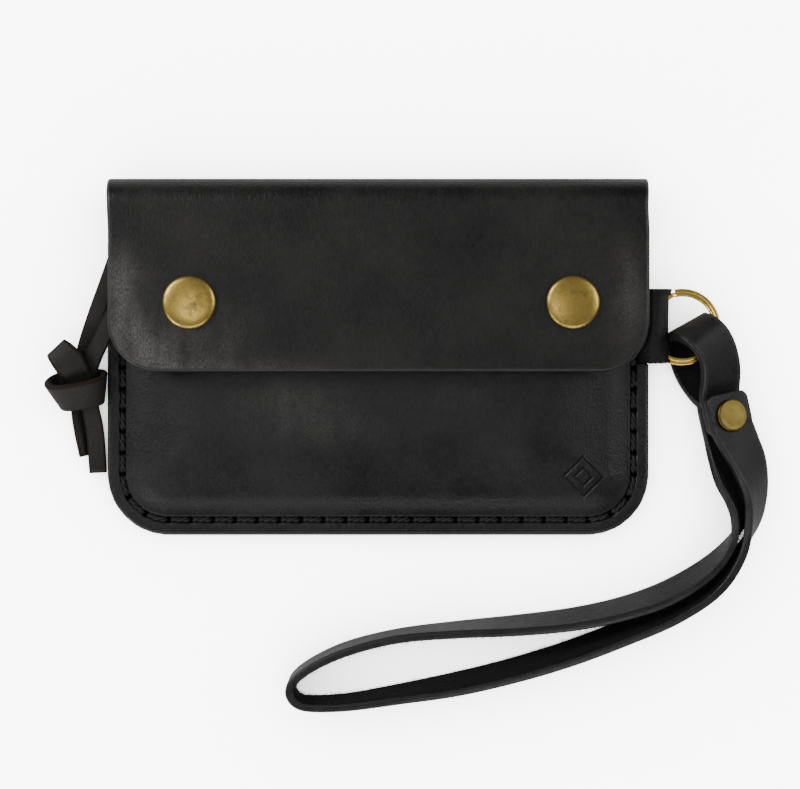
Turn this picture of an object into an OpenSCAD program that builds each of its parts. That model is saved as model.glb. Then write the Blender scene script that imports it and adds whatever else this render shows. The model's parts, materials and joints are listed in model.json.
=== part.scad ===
// Zippered leather pouch with a snap flap, a side ring and a riveted wrist strap.
// The pouch lies on its back. +X runs along the top fold, +Y towards the fold, +Z out of the
// front. The origin is the centre of the back panel's outer face.

/* [Pouch] */
// Width of the two panels
panel_w = 154.8; // [140:0.2:170]
// Distance from the origin down to the bottom edge
bottom_y = 51.2; // [45:0.1:60]
// Radius of the two bottom corners
corner_r = 17.5; // [8:0.5:25]
// Thickness of the body leather
leather_t = 2.2; // [1.8:0.1:2.4]
// Height of the space inside the pouch
inside_h = 5; // [4.8:0.1:6]
// Distance of the stitch line from the edge
seam_inset = 4.5; // [3.8:0.1:4.6]
// Distance between stitches
stitch_pitch = 6.1; // [5:0.1:7]

/* [Flap] */
// Width of the flap
flap_w = 152; // [140:1:153]
// Y of the flap's free edge
flap_edge_y = -4.7; // [-12:0.1:0]
// Radius of the flap's free corners
flap_corner_r = 14; // [6:0.5:20]
// Space between the flap and the front panel
flap_gap = 3.9; // [3.8:0.1:4.6]
// Y of the centre of the rolled top fold
fold_y = 42.5; // [42.2:0.1:43.5]

/* [Snaps] */
// Diameter of the domed caps
cap_d = 15; // [13:0.1:16]
// X midway between the two snaps
snap_mid_x = 1; // [-2:0.1:2]
// Distance of each snap from that middle
snap_x = 53.7; // [40:0.1:57]
// Y of the two snaps
snap_y = 14.8; // [8:0.1:20]

/* [Zipper] */
// Y of the line where the teeth meet
teeth_y = 40.4; // [40.2:0.1:40.6]
// Distance between teeth of one row
tooth_pitch = 2.6; // [2.4:0.1:3]
// X of the slider when the zipper is closed
slider_x = -65; // [-67:0.5:-63]

/* [Ring and side loop] */
// Outer diameter of the split ring
ring_od = 22; // [21.6:0.1:22.4]
// Width of the ring's wire
ring_band = 2.4; // [2:0.1:2.5]
// Height of the ring's two windings together
ring_h = 2.4; // [2:0.1:2.5]
// X of the ring's centre
ring_x = 86.6; // [86.2:0.1:87]
// Y of the ring's centre
ring_y = 8.2; // [7:0.1:9]
// Rise of the ring from the side loop outwards
ring_tilt = 5; // [0:0.5:6]
// Height of the side loop along the seam
side_loop_h = 21; // [19:0.5:22]

/* [Wrist strap] */
// Width of the strap
strap_w = 12.4; // [11.5:0.1:12.4]
// Thickness of the strap
strap_t = 2.4; // [2:0.1:2.5]
// Diameter of the rivet's caps
rivet_d = 9; // [8:0.1:10]

/* [Lace pull] */
// Width of the lace
lace_w = 4.8; // [4:0.1:4.8]
// Thickness of the lace
lace_t = 1.8; // [1.4:0.1:1.8]

/* [Hidden] */
$fn = 48;

// Heights above the surface that the pouch lies on
panel_hw = panel_w / 2;
rim_top_z = 2 * leather_t;
inner_z = leather_t + inside_h;
front_z = inner_z + leather_t;
flap_under_z = front_z + flap_gap;
flap_top_z = flap_under_z + leather_t;
fold_r = flap_top_z / 2;
fold_z = fold_r;
fold_spread = 0.4;
fold_hw = flap_w / 2 + fold_spread;
// Space left between bodies that move against each other
gap = 0.3;
eps = 0.01;

// The front panel's rim, its raised middle and the space under it
mouth_y = 35.8;
rim_w = 7.5;
slope_w = 4;
wall_w = 3.5;
groove_w = 1.2;
groove_d = 0.6;
seam_end = 2;
stitch_rise = 0.1;
seam_top_y = mouth_y - seam_end;

// The zipper
tape_t = 0.6;
tape_z = inner_z - tape_t;
tape_hw = 72;
tape_sewn_hw = 61.8;
teeth_z = tape_z + tape_t / 2;
teeth_from = -63;
teeth_to = 62.6;
tooth_size = [1.15, 2.8, 2.6];
tooth_reach = 0.9;
// Distance of the tapes' edges from the teeth line
tape_play = 0.05;
tape_edge = tooth_size[1] - tooth_reach + tape_play;
tape_hem = 6;
slider_l = 11;
slider_w = 8.4;
slider_plate_t = 1.1;
slider_inner_h = tooth_size[2] + 2 * gap;
stop_h = 3;
stop_room = 2;
stop_gap = 0.2;
top_stop = [2, 2.4];
bottom_stop = [3, 5];
zip_stitch = [4.4, 0.7, 0.3];
zip_stitch_count = 20;
zip_seam_inset = 2.4;
zip_back_seam_y = fold_y - 4;
bridge_l = 7.4;
bridge_w = 1.6;
bridge_t = 0.8;
bridge_gap = 2.4;

// The snaps
snap_xs = [snap_mid_x - snap_x, snap_mid_x + snap_x];
socket_d = 12.4;
socket_h = 2.8;
stud_base_d = 11;
stud_base_t = 0.8;
stud_d = 6.2;
stud_neck_d = 5.2;
stud_h = 2.2;
stud_head_h = 1;
stud_bore_d = 7.4;
stud_bore_h = 2.2;
post_d = 3;
post_reach = 2;
cap_post_reach = 0.7;
flange_t = 0.7;

// The ring and the side loop
ring_left_z = 5.2;
ring_r = (ring_od - ring_band) / 2;
ring_z = ring_left_z + ring_r * sin(ring_tilt);
loop_t = 1.6;
loop_r = 3.3;
loop_fold_x = 78.7;
loop_y = [ring_y + 0.3 - side_loop_h / 2, ring_y + 0.3 + side_loop_h / 2];
loop_fold_h = 10;
tail_t = 1.3;
tail_x = 70;
notch_x = 73.8;

// The rivet of the strap
rivet_post_d = 3;
rivet_cap_t = 1.1;
rivet_cap_edge = 0.3;
rivet_play = 0.15;
layer_gap = 0.4;
layer_h = strap_t + layer_gap;
rivet_stack = 2 * layer_h + strap_t;

// Unit vector
function unit(v) = v / norm(v);
// Removes from v its part along the unit vector t
function across(v, t) = v - (v * t) * t;
// Entry n of a list, held at its ends
function at(list, n) = list[max(0, min(len(list) - 1, n))];
// Direction of a row of points at point n
function along(points, n) = unit(at(points, n + 1) - at(points, n - 1));
// A point on the smooth curve between b and c
function smooth(a, b, c, d, s) =
    0.5 * (2 * b + (c - a) * s + (2 * a - 5 * b + 4 * c - d) * s * s
        + (3 * b - a - 3 * c + d) * s * s * s);
// The same route with steps stations for each one
function refine(list, steps) = [
    for (n = [0:len(list) - 2], k = [0:steps - 1])
        smooth(at(list, n - 1), list[n], list[n + 1], at(list, n + 2), k / steps),
    list[len(list) - 1]];
// A station is a point and the direction of the band's width there
function station(point, level, tilt) = concat(point, cos(tilt) * level + sin(tilt) * [0, 0, 1]);
function place(s) = [s[0], s[1], s[2]];
function width_way(s) = [s[3], s[4], s[5]];
// Stations from x, y, z and tilt: 0 is flat, and 90 stands on edge
function stations(list) = [for (n = [0:len(list) - 1])
    let (t = along([for (p = list) [p[0], p[1], 0]], n))
    station(place(list[n]), unit([t[1], -t[0], 0]), list[n][3])];

// The strap's three layers lie tilted where the rivet holds them together
rivet_c = [97.6, -17.4, 4];
rivet_tilt = 20;
strap_dir = unit([0.22, -1, 0]);
strap_side = [strap_dir[1], -strap_dir[0], 0];
rivet_axis = cos(rivet_tilt) * [0, 0, 1] - sin(rivet_tilt) * strap_side;
// Station d along the strap from the rivet, in the layer that lies h above the lowest one
function by_rivet(d, h) = station(rivet_c + d * strap_dir + h * rivet_axis, strap_side, rivet_tilt);
// Stations along the flat run under the rivet's cap
function rivet_run(from_d, to_d, h) = [for (d = [from_d, from_d / 2, 0, to_d / 2, to_d]) by_rivet(d, h)];
// Stations from x, y, z, tilt and the turn of the band's width from -X
function eye_stations(list) = [for (e = list) station(place(e), [-cos(e[4]), -sin(e[4]), 0], e[3])];
// The eye that holds the ring, from the short end at the rivet back to the rivet
strap_eye = concat(rivet_run(5, -6.5, layer_h), eye_stations([
    [97.2, -5.5, 8.6, 22, 13], [96.4, -1, 10.7, 25, 17], [94.8, 2.8, 12.3, 25, 22],
    [92.2, 5.8, 13.2, 20, 26], [89.8, 7.6, 11.8, 12, 29], [88.3, 8.5, 7.6, 9, 29],
    [89, 7.2, 3.4, 6, 27], [89.4, 3.5, 1.8, 2, 20], [90.1, -1.2, 1.8, 2, 18],
    [92, -5.6, 2, 5, 22], [94.6, -9.6, 2.8, 12, 20]]), rivet_run(-5, 6.5, 0));
// The inner strand, from the rivet round the right-hand curve to the far end of the loop
strap_inner = [
    [99.2, -29, 5.2, 33], [99.9, -35, 6, 50], [101.2, -40.5, 6.5, 68],
    [101.3, -46.5, 6.7, 84], [98.4, -54, 6.7, 98], [92.4, -61, 6.7, 104],
    [82.4, -67.4, 6.7, 108], [70, -71.8, 6.7, 107], [56, -74.8, 6.7, 106],
    [40, -76.6, 6.7, 103], [22, -77.9, 6.7, 97], [6, -79.6, 6.7, 93],
    [-8, -83, 6.7, 93], [-18, -87.4, 6.7, 92], [-23.6, -91.6, 6.7, 91]];
// The outer strand, from the far end back to the rivet
strap_outer = [
    [-24.8, -95.2, 6.7, 89], [-22.8, -98, 6.7, 88], [-18.4, -98.9, 6.7, 86],
    [-8, -98.4, 6.7, 84], [6, -96.2, 6.7, 80], [22, -93.4, 6.7, 74],
    [38, -89.6, 6.7, 72], [54, -84.8, 6.7, 71], [70, -78.8, 6.7, 71],
    [84, -72.8, 6.7, 72], [95.4, -65.4, 6.7, 76], [102.8, -56.4, 6.7, 84],
    [106.8, -47, 7.2, 100], [107.6, -38.4, 8, 120], [105.4, -30.5, 9, 146]];
strap_end = rivet_run(6.5, -6.5, 2 * layer_h);
strap_route = refine(concat(strap_eye, stations(concat(strap_inner, strap_outer)), strap_end), 2);

// The lace: from the slider's bridge to the knot, and from the knot to each end
lace_z = 10.8;
lace_turn_r = 3.4;
lace_turn_c = [-68.3, teeth_y];
lace_route_upper = concat(
    [for (a = [6:29:180]) [lace_turn_c[0] + lace_turn_r * cos(a), lace_turn_c[1] + lace_turn_r * sin(a),
        lace_z, 0]],
    [[-71.9, 36, lace_z, 0], [-73.3, 29, lace_z, 0], [-76.2, 21, 9.8, 0], [-79.8, 12, 7.8, 0],
        [-82.8, 4, 5.6, 0], [-84, -1.1, 4.6, 0]]);
lace_route_lower = [
    [-65, 40, lace_z, 0], [-65.3, 35, lace_z, 0], [-67.2, 28, lace_z, 0],
    [-70, 20, 10.8, 0], [-73.6, 12, 10.8, 0], [-77, 5, 9.8, 0], [-79.8, -1, 8.6, 0]];
knot_c = [-86, -8];
knot_size = [16, 13, 9];
knot_turn = -15;
lace_tail_left_route = [[-87.6, -15, 3, 0], [-87.6, -21, 1.6, 0], [-86.4, -28, 1.1, 0]];
lace_tail_right_route = [[-81.4, -15, 3.4, 0], [-80.6, -22, 2, 0], [-80.4, -33, 1.1, 0]];

// A band of flat section along stations
module band(route, width, thick) {
    points = [for (s = route) place(s)];
    last = len(route) - 1;
    rings = [for (n = [0:last])
        let (t = along(points, n), w = unit(across(width_way(route[n]), t)), up = cross(t, w))
        for (c = [[1, 1], [-1, 1], [-1, -1], [1, -1]])
            points[n] + c[0] * width / 2 * w + c[1] * thick / 2 * up];
    sides = [for (n = [0:last - 1], k = [0:3])
        let (a = 4 * n + k, b = 4 * n + (k + 1) % 4)
        each [[a, b, b + 4], [a, b + 4, a + 4]]];
    ends = [[3, 2, 1, 0], [for (k = [0:3]) 4 * last + k]];
    polyhedron(rings, concat(sides, ends), convexity = 10);
}

// Outline with two round bottom corners, set in from the panel's edge
module outline(inset, top) {
    hw = panel_hw - inset;
    low = -bottom_y + inset;
    r = max(corner_r - inset, 1);
    translate([-hw, low + r]) square([2 * hw, top - low - r]);
    translate([-hw + r, low]) square([2 * (hw - r), r + eps]);
    for (x = [-hw + r, hw - r]) translate([x, low + r]) circle(r);
}

// The line of the stitches as a narrow channel
module seam_channel(top) {
    difference() {
        outline(seam_inset - groove_w / 2, top);
        outline(seam_inset + groove_w / 2, top + 1);
    }
}

// The strip round the side loop's tail, cut out of both panels
module loop_tail_space(extra) {
    translate([tail_x - extra, loop_y[0] - extra, leather_t - tail_t / 2 - extra])
        cube([panel_hw - tail_x + 1, side_loop_h + 2 * extra, tail_t + 2 * extra]);
}

// The front panel's edge stops short of the side loop
module loop_notch() {
    translate([notch_x, loop_y[0] - gap, leather_t + eps])
        cube([panel_hw - notch_x + 1, side_loop_h + 2 * gap, leather_t + 1]);
}

module back_panel() {
    color("#2b2a2a") difference() {
        linear_extrude(leather_t) outline(0, fold_y);
        translate([0, 0, -eps]) linear_extrude(groove_d + eps) seam_channel(seam_top_y);
        loop_tail_space(0);
    }
}

module flap_fold() {
    color("#2b2a2a") translate([-fold_hw, fold_y, fold_z]) rotate([90, 0, 90])
        linear_extrude(2 * fold_hw) difference() {
            circle(fold_r);
            circle(fold_r - leather_t);
            translate([-2 * fold_r, -2 * fold_r]) square([2 * fold_r, 4 * fold_r]);
        }
}

module flap() {
    hw = flap_w / 2;
    r = flap_corner_r;
    color("#2b2a2a") translate([0, 0, flap_under_z]) difference() {
        linear_extrude(leather_t) {
            translate([-hw, flap_edge_y + r]) square([2 * hw, fold_y - gap - flap_edge_y - r]);
            translate([-hw + r, flap_edge_y]) square([2 * (hw - r), r + eps]);
            for (x = [-hw + r, hw - r]) translate([x, flap_edge_y + r]) circle(r);
        }
        for (x = snap_xs) translate([x, snap_y, -eps]) cylinder(leather_t + 1, d = post_d);
    }
}

// The raised middle of the front panel, as a low frustum
module raised(inset, z0, z1, top) {
    hull() {
        translate([0, 0, z0]) linear_extrude(eps) outline(inset, top);
        translate([0, 0, z1 - eps]) linear_extrude(eps) outline(inset + slope_w, top);
    }
}

module front_panel() {
    color("#2d2c2c") difference() {
        union() {
            translate([0, 0, leather_t]) linear_extrude(leather_t) outline(0, mouth_y);
            raised(rim_w, rim_top_z - eps, front_z, mouth_y);
        }
        raised(rim_w + wall_w, leather_t - eps, inner_z, mouth_y + 1);
        translate([0, 0, rim_top_z - groove_d]) linear_extrude(groove_d + 1) seam_channel(seam_top_y);
        loop_tail_space(0);
        loop_notch();
        for (x = snap_xs) translate([x, snap_y, 0]) cylinder(front_z + 1, d = post_d);
    }
}

module zipper_tape_front() {
    front_y = mouth_y - tape_hem;
    color("#1d1d1f") {
        translate([-tape_sewn_hw, front_y, tape_z])
            cube([2 * tape_sewn_hw, teeth_y - tape_edge - front_y, tape_t]);
        translate([-tape_hw, mouth_y + gap, tape_z])
            cube([2 * tape_hw, teeth_y - tape_edge - mouth_y - gap, tape_t]);
    }
}

// The rear tape runs back from the teeth, down inside the fold and onto the back panel
module zipper_tape_back() {
    r = fold_r - leather_t;
    from_y = teeth_y + tape_edge;
    hem_y = mouth_y + gap;
    turn_y = fold_y + sqrt(r * r - pow(tape_z + tape_t - fold_z, 2));
    color("#1d1d1f") translate([-tape_hw, 0, 0]) rotate([90, 0, 90]) linear_extrude(2 * tape_hw) {
        translate([from_y, tape_z]) square([turn_y - tape_t - from_y, tape_t]);
        translate([fold_y, fold_z]) difference() {
            circle(r);
            circle(r - tape_t);
            translate([-2 * r, -2 * r]) square([2 * r, 4 * r]);
            translate([0, tape_z + tape_t - fold_z]) square([2 * r, 2 * r]);
        }
        translate([hem_y, leather_t]) square([fold_y - hem_y + eps, tape_t]);
    }
}

// A row of teeth; way is the direction in which they point
module teeth_row(way, shift) {
    for (x = [teeth_from + shift:tooth_pitch:teeth_to])
        translate([x, teeth_y - way * (tooth_size[1] / 2 - tooth_reach), teeth_z])
            cube(tooth_size, center = true);
}

module zipper_teeth_front() {
    color("#a98a45") teeth_row(1, 0);
}

module zipper_teeth_back() {
    color("#a98a45") teeth_row(-1, tooth_pitch / 2);
}

module zipper_slider() {
    side_t = 0.8;
    slot_h = tape_t + 2 * gap;
    wedge = [1.4, 1.8];
    nose = 0.3;
    color("#a98a45") translate([slider_x, teeth_y, teeth_z]) {
        difference() {
            cube([slider_l, slider_w, slider_inner_h + 2 * slider_plate_t], center = true);
            cube([slider_l + 1, slider_w - 2 * side_t, slider_inner_h], center = true);
            cube([slider_l + 1, slider_w + 1, slot_h], center = true);
        }
        translate([-slider_l / 2 + nose, -wedge[1] / 2, -slider_inner_h / 2 - eps])
            cube([wedge[0], wedge[1], slider_inner_h + 2 * eps]);
    }
}

module zipper_slider_bridge() {
    top = teeth_z + slider_inner_h / 2 + slider_plate_t;
    color("#a98a45") translate([slider_x - bridge_l / 2, teeth_y - bridge_w / 2, top]) difference() {
        cube([bridge_l, bridge_w, bridge_gap + bridge_t]);
        translate([bridge_t, -1, -1]) cube([bridge_l - 2 * bridge_t, bridge_w + 2, bridge_gap + 1]);
    }
}

// The tapes' edges, cut out of a stop of the given length
module tape_slots(length) {
    for (way = [-1, 1]) translate([0, way * (tape_edge - tape_play + tape_hem / 2), 0])
        cube([length + 1, tape_hem, tape_t], center = true);
}

module zipper_top_stops() {
    x = slider_x - slider_l / 2 - gap - top_stop[0] / 2;
    color("#a98a45") translate([x, teeth_y, teeth_z]) difference() {
        for (way = [-1, 1]) translate([0, way * (top_stop[1] + stop_gap) / 2, 0])
            cube([top_stop[0], top_stop[1], stop_h], center = true);
        tape_slots(top_stop[0]);
    }
}

module zipper_bottom_stop() {
    color("#a98a45") translate([teeth_to + bottom_stop[0] / 2 + stop_room, teeth_y, teeth_z])
        difference() {
            cube([bottom_stop[0], bottom_stop[1], stop_h], center = true);
            tape_slots(bottom_stop[0]);
        }
}

module lace_strand_upper() {
    color("#2a2320") band(refine(stations(lace_route_upper), 2), lace_w, lace_t);
}

module lace_strand_lower() {
    color("#2a2320") band(refine(stations(lace_route_lower), 2), lace_w, lace_t);
}

module lace_knot() {
    color("#2a2320") translate([knot_c[0], knot_c[1], gap]) rotate(knot_turn)
        linear_extrude(knot_size[2] - gap) resize([knot_size[0], knot_size[1]]) circle(knot_size[0] / 2);
}

module lace_tail_left() {
    color("#2a2320") band(stations(lace_tail_left_route), lace_w, lace_t);
}

module lace_tail_right() {
    color("#2a2320") band(stations(lace_tail_right_route), lace_w, lace_t);
}

// Domed cap on the flap, with the post that holds it
module snap_cap(x) {
    rim_h = 0.8;
    dome_h = 2;
    rise = dome_h - rim_h;
    dome_r = (pow(cap_d / 2, 2) + rise * rise) / (2 * rise);
    spread = asin(cap_d / 2 / dome_r);
    color("#8a7440") translate([x, snap_y, flap_top_z]) rotate_extrude()
        polygon(concat(
            [for (n = [0:8]) let (a = n * spread / 8)
                [dome_r * sin(a), dome_h - dome_r + dome_r * cos(a)]],
            [[cap_d / 2, 0], [post_d / 2 - eps, 0], [post_d / 2 - eps, -leather_t - cap_post_reach],
                [0, -leather_t - cap_post_reach]]));
}

module snap_cap_left() { snap_cap(snap_xs[0]); }
module snap_cap_right() { snap_cap(snap_xs[1]); }

module snap_socket(x) {
    color("#8a7440") translate([x, snap_y, flap_under_z - socket_h]) difference() {
        cylinder(socket_h, d = socket_d);
        translate([0, 0, -1]) cylinder(stud_bore_h + 1, d = stud_bore_d);
        translate([0, 0, -1]) cylinder(socket_h + 2, d = post_d);
    }
}

module snap_socket_left() { snap_socket(snap_xs[0]); }
module snap_socket_right() { snap_socket(snap_xs[1]); }

module snap_stud(x) {
    color("#8a7440") translate([x, snap_y, front_z]) difference() {
        union() {
            cylinder(stud_base_t, d = stud_base_d);
            cylinder(stud_base_t + stud_h, d = stud_neck_d);
            translate([0, 0, stud_base_t + stud_h - stud_head_h]) cylinder(stud_head_h, d = stud_d);
        }
        translate([0, 0, -1]) cylinder(stud_h + 1, d = post_d);
    }
}

module snap_stud_left() { snap_stud(snap_xs[0]); }
module snap_stud_right() { snap_stud(snap_xs[1]); }

module snap_post(x) {
    color("#8a7440") translate([x, snap_y, inner_z - flange_t]) {
        cylinder(flange_t, d = stud_base_d);
        cylinder(flange_t + leather_t + post_reach, d = post_d - 2 * eps);
    }
}

module snap_post_left() { snap_post(snap_xs[0]); }
module snap_post_right() { snap_post(snap_xs[1]); }

// A strip folded round the ring's wire, with both ends between the panels
module side_loop() {
    loop_mid = (loop_y[0] + loop_y[1]) / 2;
    wall_t = 1;
    wall_play = 0.2;
    wall_x = notch_x + wall_play;
    low_z = ring_left_z - loop_r;
    color("#2b2a2a") {
        translate([tail_x, loop_y[0], leather_t - tail_t / 2])
            cube([wall_x + wall_t - wall_play - tail_x, side_loop_h, tail_t]);
        translate([wall_x, loop_y[0], leather_t])
            cube([wall_t, side_loop_h, 2 * loop_r + low_z - leather_t]);
        translate([panel_hw + eps, loop_y[0], low_z])
            cube([loop_fold_x - panel_hw - eps, side_loop_h, loop_t]);
        translate([wall_x, loop_y[0], leather_t + eps])
            cube([panel_hw - wall_x + wall_t, side_loop_h, low_z + loop_t - leather_t - eps]);
        translate([wall_x, loop_y[0], low_z + 2 * loop_r - loop_t])
            cube([loop_fold_x - wall_x, side_loop_h, loop_t]);
        translate([loop_fold_x, loop_mid + loop_fold_h / 2, ring_left_z]) rotate([90, 0, 0])
            linear_extrude(loop_fold_h) difference() {
                circle(loop_r);
                circle(loop_r - loop_t);
                translate([-2 * loop_r, -2 * loop_r]) square([2 * loop_r, 4 * loop_r]);
            }
    }
}

module split_ring() {
    inner = ring_od / 2 - ring_band;
    outer = ring_od / 2;
    half = ring_h / 2;
    bevel = 0.3;
    color("#b08a3a") translate([ring_x, ring_y, ring_z]) rotate([0, -ring_tilt, 0]) rotate_extrude()
        polygon([[inner, 0], [inner + bevel, bevel / 2], [inner, bevel],
            [inner, half - bevel], [inner + bevel, half], [outer - bevel, half],
            [outer, half - bevel], [outer, bevel], [outer - bevel, 0],
            [outer, -bevel], [outer, bevel - half], [outer - bevel, -half],
            [inner + bevel, -half], [inner, bevel - half], [inner, -bevel]]);
}

// Places its children on the rivet's axis, at a height above the middle of the lowest layer
module on_rivet_axis(h) {
    translate(rivet_c) rotate(a = -rivet_tilt, v = strap_dir) translate([0, 0, h]) children();
}

module wrist_strap() {
    color("#2f2e2e") difference() {
        band(strap_route, strap_w, strap_t);
        on_rivet_axis(-strap_t) cylinder(rivet_stack + 2 * strap_t, d = rivet_post_d);
    }
}

module strap_rivet_cap() {
    color("#8a7440") on_rivet_axis(rivet_stack - strap_t / 2 + rivet_play) {
        cylinder(rivet_cap_t - rivet_cap_edge, d = rivet_d);
        cylinder(rivet_cap_t, d = rivet_d - 1);
    }
}

module strap_rivet_post() {
    color("#8a7440") on_rivet_axis(-strap_t / 2 - rivet_cap_t - rivet_play) {
        cylinder(rivet_cap_t, d = rivet_d);
        cylinder(rivet_stack + rivet_cap_t + 2 * rivet_play - eps, d = rivet_post_d - 2 * eps);
    }
}

// Stitches along the side and bottom seams, between two heights
module seam_stitches(z0, z1) {
    stitch = [4.6, 0.8];
    corner_cut = 0.6;
    hw = panel_hw - seam_inset;
    low = -bottom_y + seam_inset;
    r = corner_r - seam_inset;
    top = seam_top_y - seam_end;
    sides = floor((top - low - r) / stitch_pitch);
    half_floor = floor((hw - r) / stitch_pitch);
    corner_n = round(r * PI / 2 / stitch_pitch);
    translate([0, 0, z0]) linear_extrude(z1 - z0) {
        for (way = [-1, 1], n = [0:sides - 1])
            translate([way * hw, low + r + (n + 0.5) * stitch_pitch]) rotate(90)
                square(stitch, center = true);
        for (n = [-half_floor:half_floor])
            translate([n * (hw - r) / (half_floor + 0.5), low]) square(stitch, center = true);
        for (way = [-1, 1], n = [0:corner_n - 1])
            let (a = (n + 0.5) * 90 / corner_n)
            translate([way * (hw - r + r * sin(a)), low + r - r * cos(a)])
                rotate(way * a) square([stitch[0] - corner_cut, stitch[1]], center = true);
    }
}

module seam_stitches_front() {
    color("#151515") seam_stitches(rim_top_z - groove_d, rim_top_z + stitch_rise);
}

module seam_stitches_back() {
    color("#151515") seam_stitches(groove_d / 10, groove_d);
}

// One straight row of stitches along the zipper, on top of a surface at height z
module zipper_row(y, z) {
    for (n = [0:zip_stitch_count - 1])
        translate([(n - (zip_stitch_count - 1) / 2) * stitch_pitch, y, z + zip_stitch[2] / 2])
            cube(zip_stitch, center = true);
}

module zipper_stitches_front() {
    color("#151515") zipper_row(mouth_y - zip_seam_inset, front_z);
}

module zipper_stitches_back() {
    color("#151515") zipper_row(zip_back_seam_y, leather_t + tape_t);
}

back_panel();
flap_fold();
flap();
front_panel();
zipper_tape_front();
zipper_tape_back();
zipper_teeth_front();
zipper_teeth_back();
zipper_slider();
zipper_slider_bridge();
zipper_top_stops();
zipper_bottom_stop();
lace_strand_upper();
lace_strand_lower();
lace_knot();
lace_tail_left();
lace_tail_right();
snap_cap_left();
snap_cap_right();
snap_socket_left();
snap_socket_right();
snap_stud_left();
snap_stud_right();
snap_post_left();
snap_post_right();
side_loop();
split_ring();
wrist_strap();
strap_rivet_cap();
strap_rivet_post();
seam_stitches_front();
seam_stitches_back();
zipper_stitches_front();
zipper_stitches_back();
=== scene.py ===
"""Zippered leather pouch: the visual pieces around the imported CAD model.

Shapes are worked out in millimetres in the CAD frame, and make() turns them into metres.
"""
import json
import math
import random

import bmesh
import bpy
import numpy as np
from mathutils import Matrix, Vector


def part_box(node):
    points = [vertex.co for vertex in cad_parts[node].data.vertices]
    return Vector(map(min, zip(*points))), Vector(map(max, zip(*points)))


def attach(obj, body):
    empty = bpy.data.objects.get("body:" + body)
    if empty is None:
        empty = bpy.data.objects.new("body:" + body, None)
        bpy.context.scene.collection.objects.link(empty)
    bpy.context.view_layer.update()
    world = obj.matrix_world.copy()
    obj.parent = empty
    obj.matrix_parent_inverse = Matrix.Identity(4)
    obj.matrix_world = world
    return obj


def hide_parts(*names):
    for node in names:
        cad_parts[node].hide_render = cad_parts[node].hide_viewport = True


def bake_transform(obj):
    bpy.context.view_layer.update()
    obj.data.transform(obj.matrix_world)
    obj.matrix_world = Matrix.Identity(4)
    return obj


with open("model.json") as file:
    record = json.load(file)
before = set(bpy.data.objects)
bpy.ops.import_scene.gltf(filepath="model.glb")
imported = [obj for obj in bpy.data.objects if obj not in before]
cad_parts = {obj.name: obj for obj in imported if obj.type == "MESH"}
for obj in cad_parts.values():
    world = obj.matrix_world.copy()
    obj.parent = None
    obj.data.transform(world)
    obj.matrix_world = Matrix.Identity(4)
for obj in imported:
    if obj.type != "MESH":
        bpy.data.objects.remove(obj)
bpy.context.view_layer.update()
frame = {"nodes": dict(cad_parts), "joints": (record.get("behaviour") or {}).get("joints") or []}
MM = 0.001
random.seed(7)


# ---------------------------------------------------------------- sizes from the frame
def box_mm(node):
    low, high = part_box(node)
    return np.array(low) / MM, np.array(high) / MM


def joint_mm(name):
    joint = next(j for j in frame["joints"] if j["name"] == name)
    return np.array(joint["pos_m"]) / MM


back_low, back_high = box_mm("back_panel")
front_high = box_mm("front_panel")[1]
flap_low, flap_high = box_mm("flap")
hinge = joint_mm("flap_fold_hinge")
ring_c = joint_mm("strap_turn")
LEATHER = back_high[2]
BACK_HW = back_high[0]
FLAP_HW = flap_high[0]
LOW_Y = back_low[1]
MOUTH_Y = front_high[1]
RIM_Z = 2 * LEATHER
FRONT_Z = front_high[2]
FOLD_Y, FOLD_Z = hinge[1], hinge[2]
FOLD_R = FOLD_Z - LEATHER / 2
CORNER_R, FLAP_R = 17.5, 14.0
SEAM_INSET = 4.45
STITCH_PITCH = 6.1
ZIP_STITCHES = 20
SNAP_XS = [sum(box_mm(f"snap_cap_{side}"))[0] / 2 for side in ("left", "right")]
SNAP_Y = sum(box_mm("snap_cap_left"))[1] / 2


# ---------------------------------------------------------------- camera, floor and light
def linked(name, data):
    obj = bpy.data.objects.new(name, data)
    bpy.context.scene.collection.objects.link(obj)
    return obj


def add_camera():
    data = bpy.data.cameras.new("camera")
    data.lens, data.sensor_width = 85.95, 36
    camera = linked("camera", data)
    camera.location = (0.00628, -0.011, 0.55)
    bpy.context.scene.camera = camera


# Name, place, aim, size and power of each soft light
LIGHTS = (
    ("key", (-0.95, 0.55, 0.75), (0, 0, 0), (0.8, 0.8), 15),
    ("fill", (1.05, 0.3, 0.8), (0, 0, 0), (0.8, 0.8), 9),
    ("front", (0.1, -1.15, 0.7), (0, 0, 0), (1.2, 0.6), 8),
    ("edge", (-0.8, -0.75, 0.45), (0, 0, 0), (0.5, 0.3), 5),
    ("glow", (-0.09, -0.02, 0.62), (-0.03, -0.01, 0), (0.1, 0.05), 0.42))
WORLD_LIGHT = 0.22
# The floor's glow is seen by the camera only, so it lights nothing
FLOOR_GLOW = 7.5
# How far out from the object the floor's painted shade reaches
FLOOR_SHADE = 0.045
FLOOR_SIZE = 20
FLOOR_GAP = 0.0002


def add_area(name, place, aim, size, power):
    data = bpy.data.lights.new(name, "AREA")
    data.shape, data.size, data.size_y = "RECTANGLE", size[0], size[1]
    data.energy = power
    light = linked(name, data)
    light.location = place
    light.rotation_euler = (Vector(aim) - Vector(place)).to_track_quat("-Z", "Y").to_euler()


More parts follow.
